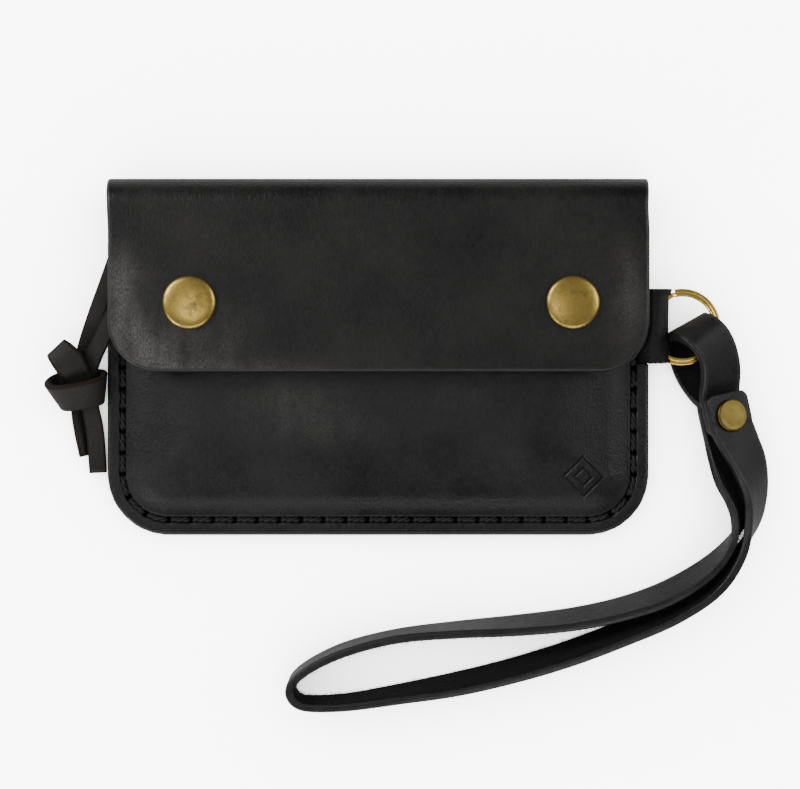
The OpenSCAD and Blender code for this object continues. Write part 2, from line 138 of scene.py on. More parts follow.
def floor_paint():
    """Pale paint that glows for the camera as if overexposed, with painted shade from ambient occlusion
    that darkens it close to the object.
    """
    g = Graph("floor_paint")
    seen = g.node("LightPath", out="Is Camera Ray")
    # Painted shade: ambient occlusion dims the glow where the object stands close
    shade = g.node("AmbientOcclusion", {"Distance": FLOOR_SHADE}, "AO")
    glow = g.math("MULTIPLY", g.math("MULTIPLY", seen, shade), FLOOR_GLOW)
    g.put(g.shader.inputs["Emission Color"], (1, 1, 1))
    g.put(g.shader.inputs["Emission Strength"], glow)
    return g.finish((0.97, 0.97, 0.97), 0.9, specular=0.0)


def add_stage():
    mesh = bpy.data.meshes.new("floor")
    corners = [(x * FLOOR_SIZE, y * FLOOR_SIZE, 0) for x, y in ((-1, -1), (1, -1), (1, 1), (-1, 1))]
    mesh.from_pydata(corners, [], [(0, 1, 2, 3)])
    mesh.materials.append(floor_paint())
    floor = linked("floor", mesh)
    floor.location.z = -FLOOR_GAP
    world = bpy.data.worlds.new("world")
    world.use_nodes = True
    sky = world.node_tree.nodes["Background"]
    sky.inputs["Color"].default_value = (1, 1, 1, 1)
    sky.inputs["Strength"].default_value = WORLD_LIGHT
    bpy.context.scene.world = world
    for light in LIGHTS:
        add_area(*light)


# ---------------------------------------------------------------- materials
class Graph:
    """A material's nodes, made one at a time."""

    def __init__(self, name):
        self.mat = bpy.data.materials.new(name)
        self.mat.use_nodes = True
        self.tree = self.mat.node_tree
        self.shader = self.tree.nodes["Principled BSDF"]

    def put(self, socket, value):
        if isinstance(value, bpy.types.NodeSocket):
            self.tree.links.new(value, socket)
        elif isinstance(value, tuple) and len(value) == 3 and socket.type == "RGBA":
            socket.default_value = (*value, 1)
        else:
            socket.default_value = value

    def node(self, kind, inputs=(), out=0, **settings):
        made = self.tree.nodes.new("ShaderNode" + kind)
        for key, value in settings.items():
            setattr(made, key, value)
        for key, value in dict(inputs).items():
            self.put(made.inputs[key], value)
        return made.outputs[out]

    def place(self, attribute=None, stretch=(1, 1, 1)):
        if attribute:
            where = self.node("Attribute", attribute_name=attribute, out="Vector")
        else:
            where = self.node("TexCoord", out="Object")
        return self.node("Mapping", {"Vector": where, "Scale": stretch})

    def noise(self, where, scale, detail=3, rough=0.5):
        return self.node("TexNoise", {"Vector": where, "Scale": scale, "Detail": detail,
                                      "Roughness": rough}, "Fac")

    def cells(self, where, scale):
        return self.node("TexVoronoi", {"Vector": where, "Scale": scale}, "Distance")

    def math(self, kind, a, b):
        return self.node("Math", {0: a, 1: b}, operation=kind)

    def ramp(self, fac, low, high, a=0.0, b=1.0):
        return self.node("MapRange", {"Value": fac, "From Min": low, "From Max": high,
                                      "To Min": a, "To Max": b})

    def mix(self, fac, a, b):
        made = self.tree.nodes.new("ShaderNodeMix")
        made.data_type = "RGBA"
        for key, value in ((0, fac), (6, a), (7, b)):
            self.put(made.inputs[key], value)
        return made.outputs[2]

    def bump(self, height, distance, strength=1.0, normal=None):
        inputs = {"Height": height, "Distance": distance, "Strength": strength}
        if normal is not None:
            inputs["Normal"] = normal
        return self.node("Bump", inputs)

    def finish(self, colour, rough, normal=None, metal=0.0, specular=0.5):
        self.put(self.shader.inputs["Base Color"], colour)
        self.put(self.shader.inputs["Roughness"], rough)
        self.shader.inputs["Metallic"].default_value = metal
        self.shader.inputs["Specular IOR Level"].default_value = specular
        if normal is not None:
            self.put(self.shader.inputs["Normal"], normal)
        return self.mat


# Pale grey of worn leather, also used for the front panel's painted highlight patches
WORN_AND_SHEEN = (0.135, 0.13, 0.122)
PRESSED = (0.003, 0.003, 0.003)


def grain_leather(name, tones, attribute="flat", rough=0.38, press=None):
    """Smooth dark leather with lengthwise fibres, pores, and pale wear and painted highlight where the
    mesh says so.

    press(g) gives 1 in the lines of a mark that is pressed into it.
    """
    g = Graph(name)
    fibre = g.noise(g.place(attribute, (1500, 480, 1500)), 1, 5, 0.7)
    patch = g.noise(g.place(attribute), 30, 4, 0.6)
    scuff = g.noise(g.place(attribute, (1, 0.45, 1)), 160, 5, 0.7)
    pores = g.cells(g.place(attribute, (1, 0.6, 1)), 2400)
    tone = g.math("ADD", g.math("MULTIPLY", fibre, 0.5), g.math("MULTIPLY", patch, 0.6))
    colour = g.mix(g.ramp(tone, 0.44, 0.68), tones[0], tones[1])
    worn_and_sheen = g.node("Attribute", attribute_name="wear_and_sheen", out="Fac")
    fine = g.ramp(g.noise(g.place(attribute, (1, 0.4, 1)), 3000, 5, 0.8), 0.4, 0.68)
    speck = g.math("ADD", g.math("MULTIPLY", fine, 0.85), 0.1)
    speck = g.math("MULTIPLY", g.math("MULTIPLY", worn_and_sheen, g.ramp(scuff, 0.36, 0.6, 0.3, 1.0)), speck)
    # Wear and painted highlight lighten the colour towards the pale grey
    colour = g.mix(speck, colour, WORN_AND_SHEEN)
    base = g.math("ADD", g.ramp(fibre, 0.3, 0.7, rough - 0.06, rough + 0.08),
                  g.ramp(patch, 0.35, 0.65, -0.07, 0.08))
    shine = g.math("ADD", base, g.math("MULTIPLY", worn_and_sheen, 0.1))
    height = g.math("ADD", g.math("MULTIPLY", fibre, 0.6), g.math("MULTIPLY", pores, 0.4))
    height = g.math("ADD", height, g.math("MULTIPLY", scuff, 1.2))
    normal = g.bump(height, 0.00022, 0.85)
    if press is not None:
        mark = press(g)
        colour = g.mix(g.math("MULTIPLY", mark, 0.75), colour, PRESSED)
        normal = g.bump(g.math("MULTIPLY", mark, -1.0), 0.0004, 1.0, normal)
    return g.finish(colour, shine, normal, specular=0.25)


# Centre of the pressed lozenge on the flat leather, and half the reach of its two lines
LOZENGE = (0.0585, 0.0168)
LOZENGE_LINES = (0.0058, 0.0026)


def lozenge(g):
    """1 in the lines of a plain lozenge within a lozenge at the front's lower right corner."""
    flat = g.node("Attribute", attribute_name="flat", out="Vector")
    axes = g.node("SeparateXYZ", {"Vector": flat}).node.outputs
    across, up = [g.math("ABSOLUTE", g.math("SUBTRACT", axes[k], LOZENGE[k]), 0) for k in (0, 1)]
    reach = g.math("ADD", across, up)
    line, inner = [g.math("ABSOLUTE", g.math("SUBTRACT", reach, r), 0) for r in LOZENGE_LINES]
    return g.ramp(g.math("MINIMUM", line, inner), 0.0002, 0.0007, 1.0, 0.0)


def cut_edge(name, tone):
    """Burnished cut edge of leather, with the layers showing as fine lines."""
    g = Graph(name)
    layers = g.noise(g.place(None, (260, 260, 2600)), 1, 3)
    spots = g.noise(g.place(), 500, 3)
    colour = g.mix(g.ramp(layers, 0.35, 0.75), tuple(0.6 * c for c in tone), tone)
    height = g.math("ADD", g.math("MULTIPLY", layers, 0.6), g.math("MULTIPLY", spots, 0.5))
    return g.finish(colour, g.ramp(spots, 0.3, 0.7, 0.32, 0.52), g.bump(height, 0.00012, 0.6),
                    specular=0.35)


def flesh_leather(name, tones):
    """Fibrous flesh side of leather."""
    g = Graph(name)
    felt = g.noise(g.place(), 900, 6, 0.75)
    lumps = g.noise(g.place(), 160, 3)
    colour = g.mix(g.ramp(felt, 0.3, 0.75), tones[0], tones[1])
    height = g.math("ADD", g.math("MULTIPLY", felt, 0.8), g.math("MULTIPLY", lumps, 0.4))
    return g.finish(colour, g.ramp(lumps, 0.3, 0.7, 0.85, 0.98), g.bump(height, 0.0004, 0.8),
                    specular=0.15)


def brass(name, bright, dark, amount, rough, scratch=0.5):
    """Brass with a mottled patina: amount is how much of it is dark."""
    g = Graph(name)
    cloud = g.noise(g.place(), 210, 5, 0.65)
    specks = g.noise(g.place(), 1500, 3, 0.6)
    lines = g.noise(g.place(None, (3000, 260, 260)), 1, 2)
    fac = g.math("ADD", g.math("MULTIPLY", cloud, 0.75), g.math("MULTIPLY", specks, 0.25))
    colour = g.mix(g.ramp(fac, 0.62 - amount, 0.78 - amount * 0.4), bright, dark)
    normal = g.bump(g.math("ADD", lines, g.math("MULTIPLY", specks, 0.6)), 0.00004, scratch)
    return g.finish(colour, g.ramp(cloud, 0.3, 0.7, rough - 0.06, rough + 0.1), normal, metal=1.0)


def woven_tape():
    """Twill tape: fine slanting ribs across the threads."""
    g = Graph("tape_weave")
    rib = g.node("TexWave", {"Vector": g.place(None, (1, 0.55, 1)), "Scale": 420, "Distortion": 0.5},
                 "Fac", bands_direction="DIAGONAL")
    cross = g.node("TexWave", {"Vector": g.place(), "Scale": 700, "Distortion": 0.3}, "Fac",
                   bands_direction="Y")
    weave = g.math("MULTIPLY", rib, cross)
    colour = g.mix(weave, (0.006, 0.006, 0.007), (0.03, 0.03, 0.032))
    return g.finish(colour, g.ramp(weave, 0, 1, 0.95, 0.75), g.bump(weave, 0.00015, 0.8),
                    specular=0.2)


def waxed_thread():
    g = Graph("waxed_thread")
    fuzz = g.noise(g.place(), 2600, 3)
    colour = g.mix(fuzz, (0.002, 0.002, 0.002), (0.013, 0.013, 0.013))
    return g.finish(colour, g.ramp(fuzz, 0.3, 0.7, 0.45, 0.65), g.bump(fuzz, 0.00005, 0.6),
                    specular=0.25)


# Near-black paint for the awl holes and the ring wire's cut ends: painted shade where little light gets
# in
def awl_hole_shade():
    g = Graph("awl_hole_shade")
    grit = g.noise(g.place(), 1800, 2)
    return g.finish(g.mix(grit, (0.001, 0.001, 0.001), (0.004, 0.004, 0.004)), 0.95,
                    g.bump(grit, 0.0001, 0.5), specular=0.05)


# ---------------------------------------------------------------- mesh tools
def make(name, verts, faces, materials, face_material=None, attributes=(), sharp=None):
    """A mesh object from points in millimetres, with its outward normals and its attributes."""
    mesh = bpy.data.meshes.new(name)
    points = np.asarray(verts, float) * MM
    mesh.from_pydata(points.tolist(), [], [list(map(int, f)) for f in faces])
    for mat in materials:
        mesh.materials.append(mat)
    if face_material is not None:
        mesh.polygons.foreach_set("material_index", list(map(int, face_material)))
    for key, values in dict(attributes).items():
        values = np.asarray(values, np.float32)
        kind = "FLOAT_VECTOR" if values.ndim == 2 else "FLOAT"
        layer = mesh.attributes.new(key, kind, "POINT")
        layer.data.foreach_set("vector" if values.ndim == 2 else "value", values.ravel())
    made = bmesh.new()
    made.from_mesh(mesh)
    bmesh.ops.recalc_face_normals(made, faces=made.faces)
    made.to_mesh(mesh)
    made.free()
    if sharp is None:
        mesh.polygons.foreach_set("use_smooth", [True] * len(mesh.polygons))
    else:
        mesh.shade_smooth()
        mesh.set_sharp_from_angle(angle=math.radians(sharp))
    obj = linked(name, mesh)
    return obj


def stand_in(name, node, body, parts, material, sharp=None):
    """One piece of several parts, which rides on a body and stands for a node."""
    verts, faces = join(parts)
    obj = make(name, verts, faces, [material], sharp=sharp)
    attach(obj, body)
    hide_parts(node)


def leather_maps(flat, wear_and_sheen):
    """A leather piece's attributes: its flat place in metres, and how worn it is and how much painted
    highlight it has.
    """
    return {"flat": np.column_stack([flat * MM, np.zeros(len(flat))]), "wear_and_sheen": np.clip(wear_and_sheen, 0, 1)}


def smooth_line(points, steps):
    """A smooth curve through the points, with steps stretches between each two."""
    points = np.asarray(points, float)
    padded = np.vstack([points[:1], points, points[-1:]])
    made = []
    for n in range(len(points) - 1):
        a, b, c, d = padded[n:n + 4]
        for s in np.arange(steps) / steps:
            made.append(0.5 * (2 * b + (c - a) * s + (2 * a - 5 * b + 4 * c - d) * s * s
                               + (3 * b - a - 3 * c + d) * s ** 3))
    made.append(points[-1])
    return np.array(made)


def unit(v):
    v = np.asarray(v, float)
    return v / np.maximum(np.linalg.norm(v, axis=-1, keepdims=True), 1e-9)


def tangents(points):
    return unit(np.gradient(points, axis=0))


def round_section(width, thick, r, n=3):
    """Points round a flat section with rounded corners, as (across, up)."""
    made = []
    for cx, cy, start in ((1, 1, 0), (-1, 1, 90), (-1, -1, 180), (1, -1, 270)):
        for k in range(n + 1):
            a = math.radians(start + 90 * k / n)
            made.append((cx * (width / 2 - r) + r * math.cos(a),
                         cy * (thick / 2 - r) + r * math.sin(a)))
    return np.array(made)


def ladder(rows):
    """Faces between each two neighbouring rows of points."""
    return [(a[k], a[k + 1], b[k + 1], b[k])
            for a, b in zip(rows, rows[1:]) for k in range(len(a) - 1)]


def walls(rings, m):
    """Faces between rings of m points each."""
    return [(i * m + k, i * m + (k + 1) % m, (i + 1) * m + (k + 1) % m, (i + 1) * m + k)
            for i in range(rings - 1) for k in range(m)]


def ends(rings, m):
    """Faces that close the first and the last of the rings."""
    return [tuple(range(m))[::-1], tuple((rings - 1) * m + k for k in range(m))]


def strip_kinds(section, stretches, margin, grain=0, under=0, edge=1):
    """Materials of a swept strip's faces: its two flat sides, its cut edges and its two ends."""
    limit = section[:, 0].max() - margin
    ahead = np.roll(section, -1, axis=0)
    middle = (section + ahead) / 2
    ring = [edge if abs(x) > limit else (grain if y > 0 else under) for x, y in middle]
    return ring * stretches + [edge, edge]


def sweep(points, across, section, sizes=None):
    """Vertices and faces of a section carried along points; across is the section's width way."""
    points = np.asarray(points, float)
    t = tangents(points)
    w = unit(across - np.sum(across * t, axis=1, keepdims=True) * t)
    up = np.cross(t, w)
    n, m = len(points), len(section)
    sizes = np.ones((n, 2)) if sizes is None else np.asarray(sizes, float)
    verts = (points[:, None] + w[:, None] * (section[None, :, :1] * sizes[:, None, :1])
             + up[:, None] * (section[None, :, 1:] * sizes[:, None, 1:])).reshape(-1, 3)
    return verts, walls(n, m) + ends(n, m)


def circle_section(r, n):
    a = np.arange(n) * 2 * math.pi / n
    return np.stack([r * np.cos(a), r * np.sin(a)], axis=1)


TURNED_SIDES = 72


def lathe(profile):
    """Vertices and faces of a turned shape from (radius, height) points; 0 radius closes it."""
    verts, faces, rings = [], [], []
    n = TURNED_SIDES
    for r, z in profile:
        if r < 1e-6:
            rings.append([len(verts)])
            verts.append((0, 0, z))
        else:
            rings.append(list(range(len(verts), len(verts) + n)))
            verts += [(r * math.cos(k * 2 * math.pi / n), r * math.sin(k * 2 * math.pi / n), z)
                      for k in range(n)]
    for a, b in zip(rings, rings[1:]):
        for k in range(n):
            quad = [a[k % len(a)], a[(k + 1) % len(a)], b[(k + 1) % len(b)], b[k % len(b)]]
            faces.append(tuple(dict.fromkeys(quad)))
    return np.array(verts), faces


def join(parts):
    """One list of vertices and faces from several."""
    verts, faces, start = [], [], 0
    for v, f in parts:
        verts.append(np.asarray(v, float))
        faces += [tuple(i + start for i in face) for face in f]
        start += len(v)
    return np.vstack(verts), faces


def smoothstep(x, a, b):
    t = np.clip((x - a) / (b - a), 0, 1)
    return t * t * (3 - 2 * t)


# ---------------------------------------------------------------- leather panels
# Shares of a stitch at which a panel has points; 1 marks the two sides of an awl hole
STITCH_STEPS = ((0.095, 1), (0.115, 0), (0.5, 0), (0.885, 0), (0.905, 1))
# How far a sheet's rounded edge stands out past its outermost points
EDGE_B = 0.9
INSETS = (EDGE_B, 1.5, 2.3, 3.0, 3.4, 3.6, 3.8, 4.45, 5.1, 5.3, 5.6, 6.0, 6.6, 7.4, 8.4, 9.4,
          10.4, 11.4, 12.4, 13.2)
SIDE_STITCHES, CORNER_STITCHES, FLOOR_STITCHES = 10, 3, 19
SIDE_FROM = CORNER_R + SIDE_STITCHES * STITCH_PITCH


def run(a, b, count):
    return [(a + (k + f) * (b - a) / count, hole) for k in range(count) for f, hole in STITCH_STEPS]


def border(hw, r, side):
    """Places round a panel's two sides, corners and free edge; side lists (distance, hole)."""
    corner = run(0.0, 90.0, CORNER_STITCHES)
    floor = run(-(hw - r), hw - r, FLOOR_STITCHES)
    return ([("side", -1, d, h) for d, h in side] + [("corner", -1, a, h) for a, h in corner]
            + [("floor", 0, x, h) for x, h in floor]
            + [("corner", 1, a, h) for a, h in reversed(corner)]
            + [("side", 1, d, h) for d, h in reversed(side)])


def border_point(place, inset, hw, r):
    """(x, distance from the free edge) of a place on the border's line at an inset."""
    kind, way, value, _ = place
    if kind == "side":
        return way * (hw - inset), value
    if kind == "floor":
        return value, inset
    a = math.radians(value)
    return way * (hw - r + (r - inset) * math.cos(a)), r - (r - inset) * math.sin(a)


class Panel:
    """Flat mesh of a panel with two round corners: border strips and a ladder of rows between."""

    def __init__(self, hw, r, side):
        self.points, self.holes, self.faces = [], [], []
        places = border(hw, r, side)
        loops = [[self.add(*border_point(p, inset, hw, r), p[3] * (3.5 < inset < 5.2))
                  for p in places] for inset in INSETS]
        self.faces += ladder(loops)
        deep = loops[-1]
        left = sum(1 for p in places if p[0] != "floor") // 2
        shares = [p[2] / (hw - r) for p in places if p[0] == "floor"]
        rows = []
        for i in range(left - 1):
            x, d = self.points[deep[i]]
            rows.append([deep[i]] + [self.add(-x * u, d, 0) for u in shares] + [deep[-1 - i]])
        rows.append(deep[left - 1:len(deep) - left + 1])
        self.faces += ladder(rows)
        self.edge = loops[0]
        self.top = [loop[0] for loop in loops[:-1]] + rows[0] + [loop[-1] for loop in loops[-2::-1]]

    def add(self, x, d, hole):
        self.points.append((x, d))
        self.holes.append(hole)
        return len(self.points) - 1


def panel_side(depth, stitched):
    """Distances from the free edge along a panel's side, from its open end to the corner."""
    if not stitched:
        return [(depth - k * (depth - FLAP_R) / 18, 0) for k in range(18)]
    first = SIDE_FROM + STITCH_STEPS[0][0] * STITCH_PITCH
    plain = np.linspace(depth, first + 0.8, 5)
    return [(d, 0) for d in plain] + [(first + 0.14, 0), (first, 1)] + [
        (d, h) for d, h in run(SIDE_FROM, CORNER_R, SIDE_STITCHES)]


def outward(points, loop):
    """Unit vectors out of a closed outline of flat points."""
    line = points[loop]
    ahead = unit(np.roll(line, -1, axis=0) - line)
    behind = unit(line - np.roll(line, 1, axis=0))
    t = unit(ahead + behind)
    n = np.stack([t[:, 1], -t[:, 0]], axis=1)
    middle = line.mean(axis=0)
    return n if np.sum(n * (line - middle)) > 0 else -n


EDGE_STEPS = 5


def thick_sheet(points, faces, loop, grain_h, flesh_h, lay):
    """A closed sheet: grain and flesh faces and a rounded edge round its outline.

    lay(x, s, h) gives the place of a flat point at a height h over the leather's middle.
    Returns vertices, faces, which faces are grain 0, flesh 1 or edge 2, and flat places.
    """
    points, loop = np.array(points), list(loop)
    count = len(points)
    flat = [points, points]
    verts = [lay(points[:, 0], points[:, 1], grain_h), lay(points[:, 0], points[:, 1], flesh_h)]
    out = outward(points, loop)
    rings = [loop]
    top, low = grain_h[loop], flesh_h[loop]
    for k in range(1, EDGE_STEPS + 1):
        a = math.pi * k / (EDGE_STEPS + 1)
        place = points[loop] + out * EDGE_B * math.sin(a)
        height = (top + low) / 2 + (top - low) / 2 * math.cos(a)
        rings.append([2 * count + (k - 1) * len(loop) + i for i in range(len(loop))])
        verts.append(lay(place[:, 0], place[:, 1], height))
        flat.append(place)
    rings.append([i + count for i in loop])
    every = list(faces) + [tuple(i + count for i in f) for f in faces]
    kinds = [0] * len(faces) + [1] * len(faces)
    for a, b in zip(rings, rings[1:]):
        for k in range(len(loop)):
            j = (k + 1) % len(loop)
            every.append((a[k], a[j], b[j], b[k]))
            kinds.append(2)
    return np.vstack(verts), every, kinds, np.vstack(flat)


def near_snaps(x, y):
    """1 at a snap's centre, falling softly away round it."""
    return sum(np.exp(-((x - cx) ** 2 + (y - SNAP_Y) ** 2) / 70) for cx in SNAP_XS)


def seam_drop(inset):
    """Depth of the stitch groove at an inset from the edge."""
    return 0.55 * (1 - smoothstep(np.abs(inset - SEAM_INSET), 0.5, 1.15))


def inset_of(x, d, hw, r):
    """Distance of flat points from a panel's outline."""
    x = np.abs(x)
    straight = np.minimum(hw - x, d)
    corner = r - np.hypot(x - (hw - r), d - r)
    return np.where((x > hw - r) & (d < r), corner, straight)


HOLE_DEPTH = 1.3
# Pale patches on the front panel that paint in its highlights as burnished wear: x, y, half width, half
# height and strength
FRONT_PAINTED_SHEEN = ((-26, -13, 17, 7, 0.34), (-14, -22, 14, 6, 0.22), (30, -10, 12, 5, 0.1),
                (-66, -38, 6, 9, 0.12), (40, -30, 20, 8, 0.08))


def front_panel(materials):
    """The front panel: a rim with the seam, and a raised middle that ends at the mouth."""
    depth = MOUTH_Y - LOW_Y - EDGE_B
    panel = Panel(BACK_HW, CORNER_R, panel_side(depth, True))
    points = np.array(panel.points)
    inset = inset_of(points[:, 0], points[:, 1], BACK_HW, CORNER_R)

    def middle_z(x, s):
        i = inset_of(x, np.minimum(s, 60), BACK_HW, CORNER_R)
        soft = 0.25 * smoothstep(i, 5.6, 12) + 0.75 * smoothstep(i, 5.6, 30)
        steep = smoothstep(i, 6.4, 12.5)
        near_mouth = smoothstep(s + LOW_Y, 4, 27)
        return RIM_Z - LEATHER / 2 + (FRONT_Z - RIM_Z) * (soft + (steep - soft) * near_mouth)

    def lay(x, s, h):
        dimple = 0.2 * near_snaps(x, s + LOW_Y)
        return np.stack([x, s + LOW_Y, middle_z(x, s) + h - dimple], axis=1)

    stitched = points[:, 1] < SIDE_FROM + 0.8
    grain = LEATHER / 2 - seam_drop(inset) * stitched - HOLE_DEPTH * np.array(panel.holes, float)
    flesh = np.full(len(points), -LEATHER / 2)
    loop = panel.edge + panel.top[::-1][1:-1]
    verts, faces, kinds, flat = thick_sheet(points, panel.faces, loop, grain, flesh, lay)
    kinds = with_holes(kinds, panel.faces, panel.holes)
    fx, fy = flat[:, 0], flat[:, 1] + LOW_Y
    wear_and_sheen = edge_wear(fx, flat[:, 1], BACK_HW, CORNER_R) * 0.45
    # Painted highlight patches, added on top of the edge wear
    for x, y, wide, high, much in FRONT_PAINTED_SHEEN:
        wear_and_sheen = wear_and_sheen + much * np.exp(-((fx - x) / wide) ** 2 - ((fy - y) / high) ** 2)
    obj = make("front_panel_leather", verts, faces, materials, kinds,
               leather_maps(flat, wear_and_sheen))
    cutter = loop_notch()
    cut = obj.modifiers.new("notch", "BOOLEAN")
    cut.object, cut.operation, cut.solver = cutter, "DIFFERENCE", "EXACT"
    apply_modifiers(obj)
    bpy.data.objects.remove(cutter)
    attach(obj, "pouch")
    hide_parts("front_panel")


def apply_modifiers(obj):
    graph = bpy.context.evaluated_depsgraph_get()
    mesh = bpy.data.meshes.new_from_object(obj.evaluated_get(graph))
    obj.modifiers.clear()
    obj.data = mesh


def loop_notch():
    """A block that cuts the room for the side loop out of the front panel's rim."""
    low, high = box_mm("side_loop")
    a = np.array([front_high[0] - 3.6, low[1] - 0.3, LEATHER - 1])
    b = np.array([front_high[0] + 5, high[1] + 0.3, RIM_Z + 3])
    corners = np.array([[(a, b)[i][0], (a, b)[j][1], (a, b)[k][2]]
                        for i in (0, 1) for j in (0, 1) for k in (0, 1)])
    mesh = bpy.data.meshes.new("notch")
    mesh.from_pydata((corners * MM).tolist(), [], [(0, 1, 3, 2), (4, 6, 7, 5), (0, 4, 5, 1),
                                                   (2, 3, 7, 6), (0, 2, 6, 4), (1, 5, 7, 3)])
    return linked("notch", mesh)


def with_holes(kinds, faces, holes):
    """The faces' materials, with the painted shade, 3, on each face that touches an awl hole."""
    dark = {n for n, f in enumerate(faces) if any(holes[i] for i in f)}
    return [3 if n in dark else k for n, k in enumerate(kinds)]


def edge_wear(x, d, hw, r):
    """Light wear within a millimetre of a panel's outline."""
    return np.clip(1 - smoothstep(inset_of(x, d, hw, r), 0.0, 1.3), 0, 1)


# The flap lies this far to the right of the back panel
FLAP_SHIFT = 0.3
FOLD_STEPS = 18


def wrap(materials):
    """Back panel, fold and flap as the one piece of leather that they are."""
    back_len = FOLD_Y - LOW_Y
    fold_len = math.pi * FOLD_R
    flap_len = FOLD_Y - flap_low[1]
    total = back_len + fold_len + flap_len
    back = Panel(BACK_HW, CORNER_R, panel_side(back_len, True))
    flap = Panel(FLAP_HW, FLAP_R, panel_side(flap_len, False))
    points, holes, faces = list(back.points), list(back.holes), list(back.faces)
    rows = [back.top]
    flap_points = [(x, total - d) for x, d in flap.points]
    for k in range(1, FOLD_STEPS):
        row = []
        for a, b in zip(back.top, flap.top):
            share = k / FOLD_STEPS
            xa, xb = back.points[a][0], flap_points[b][0]
            row.append(len(points))
            points.append((xa + (xb - xa) * share, back_len + fold_len * share))
            holes.append(0)
        rows.append(row)
    start = len(points)
    points += flap_points
    holes += [0] * len(flap_points)
    faces += [tuple(i + start for i in f) for f in flap.faces]
    rows.append([i + start for i in flap.top])
    faces += ladder(rows)
    flap_edge = [i + start for i in flap.edge]
    loop = (back.edge + [r[-1] for r in rows[1:-1]] + flap_edge[::-1]
            + [r[0] for r in rows[-2:0:-1]])

    def lay(x, s, h):
        a = np.clip((s - back_len) / FOLD_R, 0, math.pi)
        past = np.clip(s - back_len - fold_len, 0, None)
        y = FOLD_Y + np.minimum(s - back_len, 0) + (FOLD_R + h) * np.sin(a) - past
        z = FOLD_Z - (FOLD_R + h) * np.cos(a)
        on_flap = smoothstep(past, 0, 8)
        pad = 0.22 * near_snaps(x, y)
        wave = 0.1 * np.sin(x / 17.0) * np.sin(y / 9.0 + 1)
        lift = on_flap * (wave * (h > 0) - pad * (h > 0))
        return np.stack([x + FLAP_SHIFT * on_flap, y, z + lift], axis=1)

    points = np.array(points)
    x, s = points[:, 0], points[:, 1]
    on_back = s < SIDE_FROM + 0.8
    grain = LEATHER / 2 - seam_drop(inset_of(x, s, BACK_HW, CORNER_R)) * on_back
    grain = grain - HOLE_DEPTH * np.array(holes, float)
    flesh = np.full(len(points), -LEATHER / 2)
    verts, every, kinds, flat = thick_sheet(points, faces, loop, grain, flesh, lay)
    kinds = with_holes(kinds, faces, holes)
    fx, fs = flat[:, 0], flat[:, 1]
    d = total - fs
    on_flap = fs > back_len + fold_len
    wear_and_sheen = np.where(on_flap, edge_wear(fx, d, FLAP_HW, FLAP_R),
                    0.4 * edge_wear(fx, fs, BACK_HW, CORNER_R))
    left = np.exp(-((fx + 72) / 5.5) ** 2) * smoothstep(d, 2, 14) * (1 - smoothstep(d, 26, 40))
    corner = np.exp(-((fx + 66) ** 2 + (d - 5) ** 2) / 90)
    low = np.exp(-(d / 3.2) ** 2) * smoothstep(-fx, -20, 65)
    patch = np.exp(-((fx + 48) ** 2 + (d - 6) ** 2) / 160)
    right = 0.5 * np.exp(-((fx - 70) / 4.5) ** 2) * np.exp(-((d - 22) / 12) ** 2)
    wear_and_sheen = wear_and_sheen * 0.7 + on_flap * (0.85 * left + 0.9 * corner + 0.55 * low + 0.35 * patch + right)
    obj = make("leather_wrap", verts, every, materials, kinds,
               leather_maps(flat, wear_and_sheen))
    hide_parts("back_panel", "flap_fold", "flap")
    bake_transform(obj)


# ---------------------------------------------------------------- stitches
def twisted(points, normal, radius, turns):
    """Two plies of thread twisted round each other along points."""
    points = np.asarray(points, float)
    t = tangents(points)
    side = unit(np.cross(t, normal))
    up = np.cross(side, t)
    parts = []
    for phase in (0, math.pi):
        a = phase + np.linspace(0, turns * 2 * math.pi, len(points))[:, None]
        centre = points + 0.5 * radius * (np.cos(a) * side + np.sin(a) * up)
        parts.append(sweep(centre, side, circle_section(0.62 * radius, 7)))
    return join(parts)


def seam_stitches(name, node, base_z, up):
    """One thread stitch between each two awl holes round a panel's border."""
    parts = []
    for a, b in stitch_spans():
        shares = np.linspace(0.1, 0.9, 19)
        flat = np.array([border_point((a[0], a[1], a[2] + (b[2] - a[2]) * s, 0), SEAM_INSET,
                                      BACK_HW, CORNER_R) for s in shares])
        arch = np.clip(np.sin(np.pi * (shares - 0.1) / 0.8) * 2.4, 0, 1)
        z = base_z + up * (-0.8 + 0.98 * arch + 0.06 * random.uniform(-1, 1))
        sway = 0.1 * random.uniform(-1, 1)
        line = np.column_stack([flat[:, 0] + sway, flat[:, 1] + LOW_Y, z])
        parts.append(twisted(line, np.array([[0.0, 0.0, up]]), 0.66, 1.25))
    stand_in(name, node, "pouch", parts, THREAD)


def stitch_spans():
    """Pairs of border places between which a stitch lies."""
    def pairs(kind, way, values):
        return [((kind, way, a), (kind, way, b)) for a, b in zip(values, values[1:])]

    half = BACK_HW - CORNER_R
    side = [CORNER_R + n * STITCH_PITCH for n in range(SIDE_STITCHES + 1)]
    corner = [n * 90.0 / CORNER_STITCHES for n in range(CORNER_STITCHES + 1)]
    floor = [-half + n * (2 * half / FLOOR_STITCHES) for n in range(FLOOR_STITCHES + 1)]
    spans = []
    for way in (-1, 1):
        spans += [(b, a) for a, b in pairs("side", way, side)] + pairs("corner", way, corner)
    return spans + pairs("floor", 0, floor)


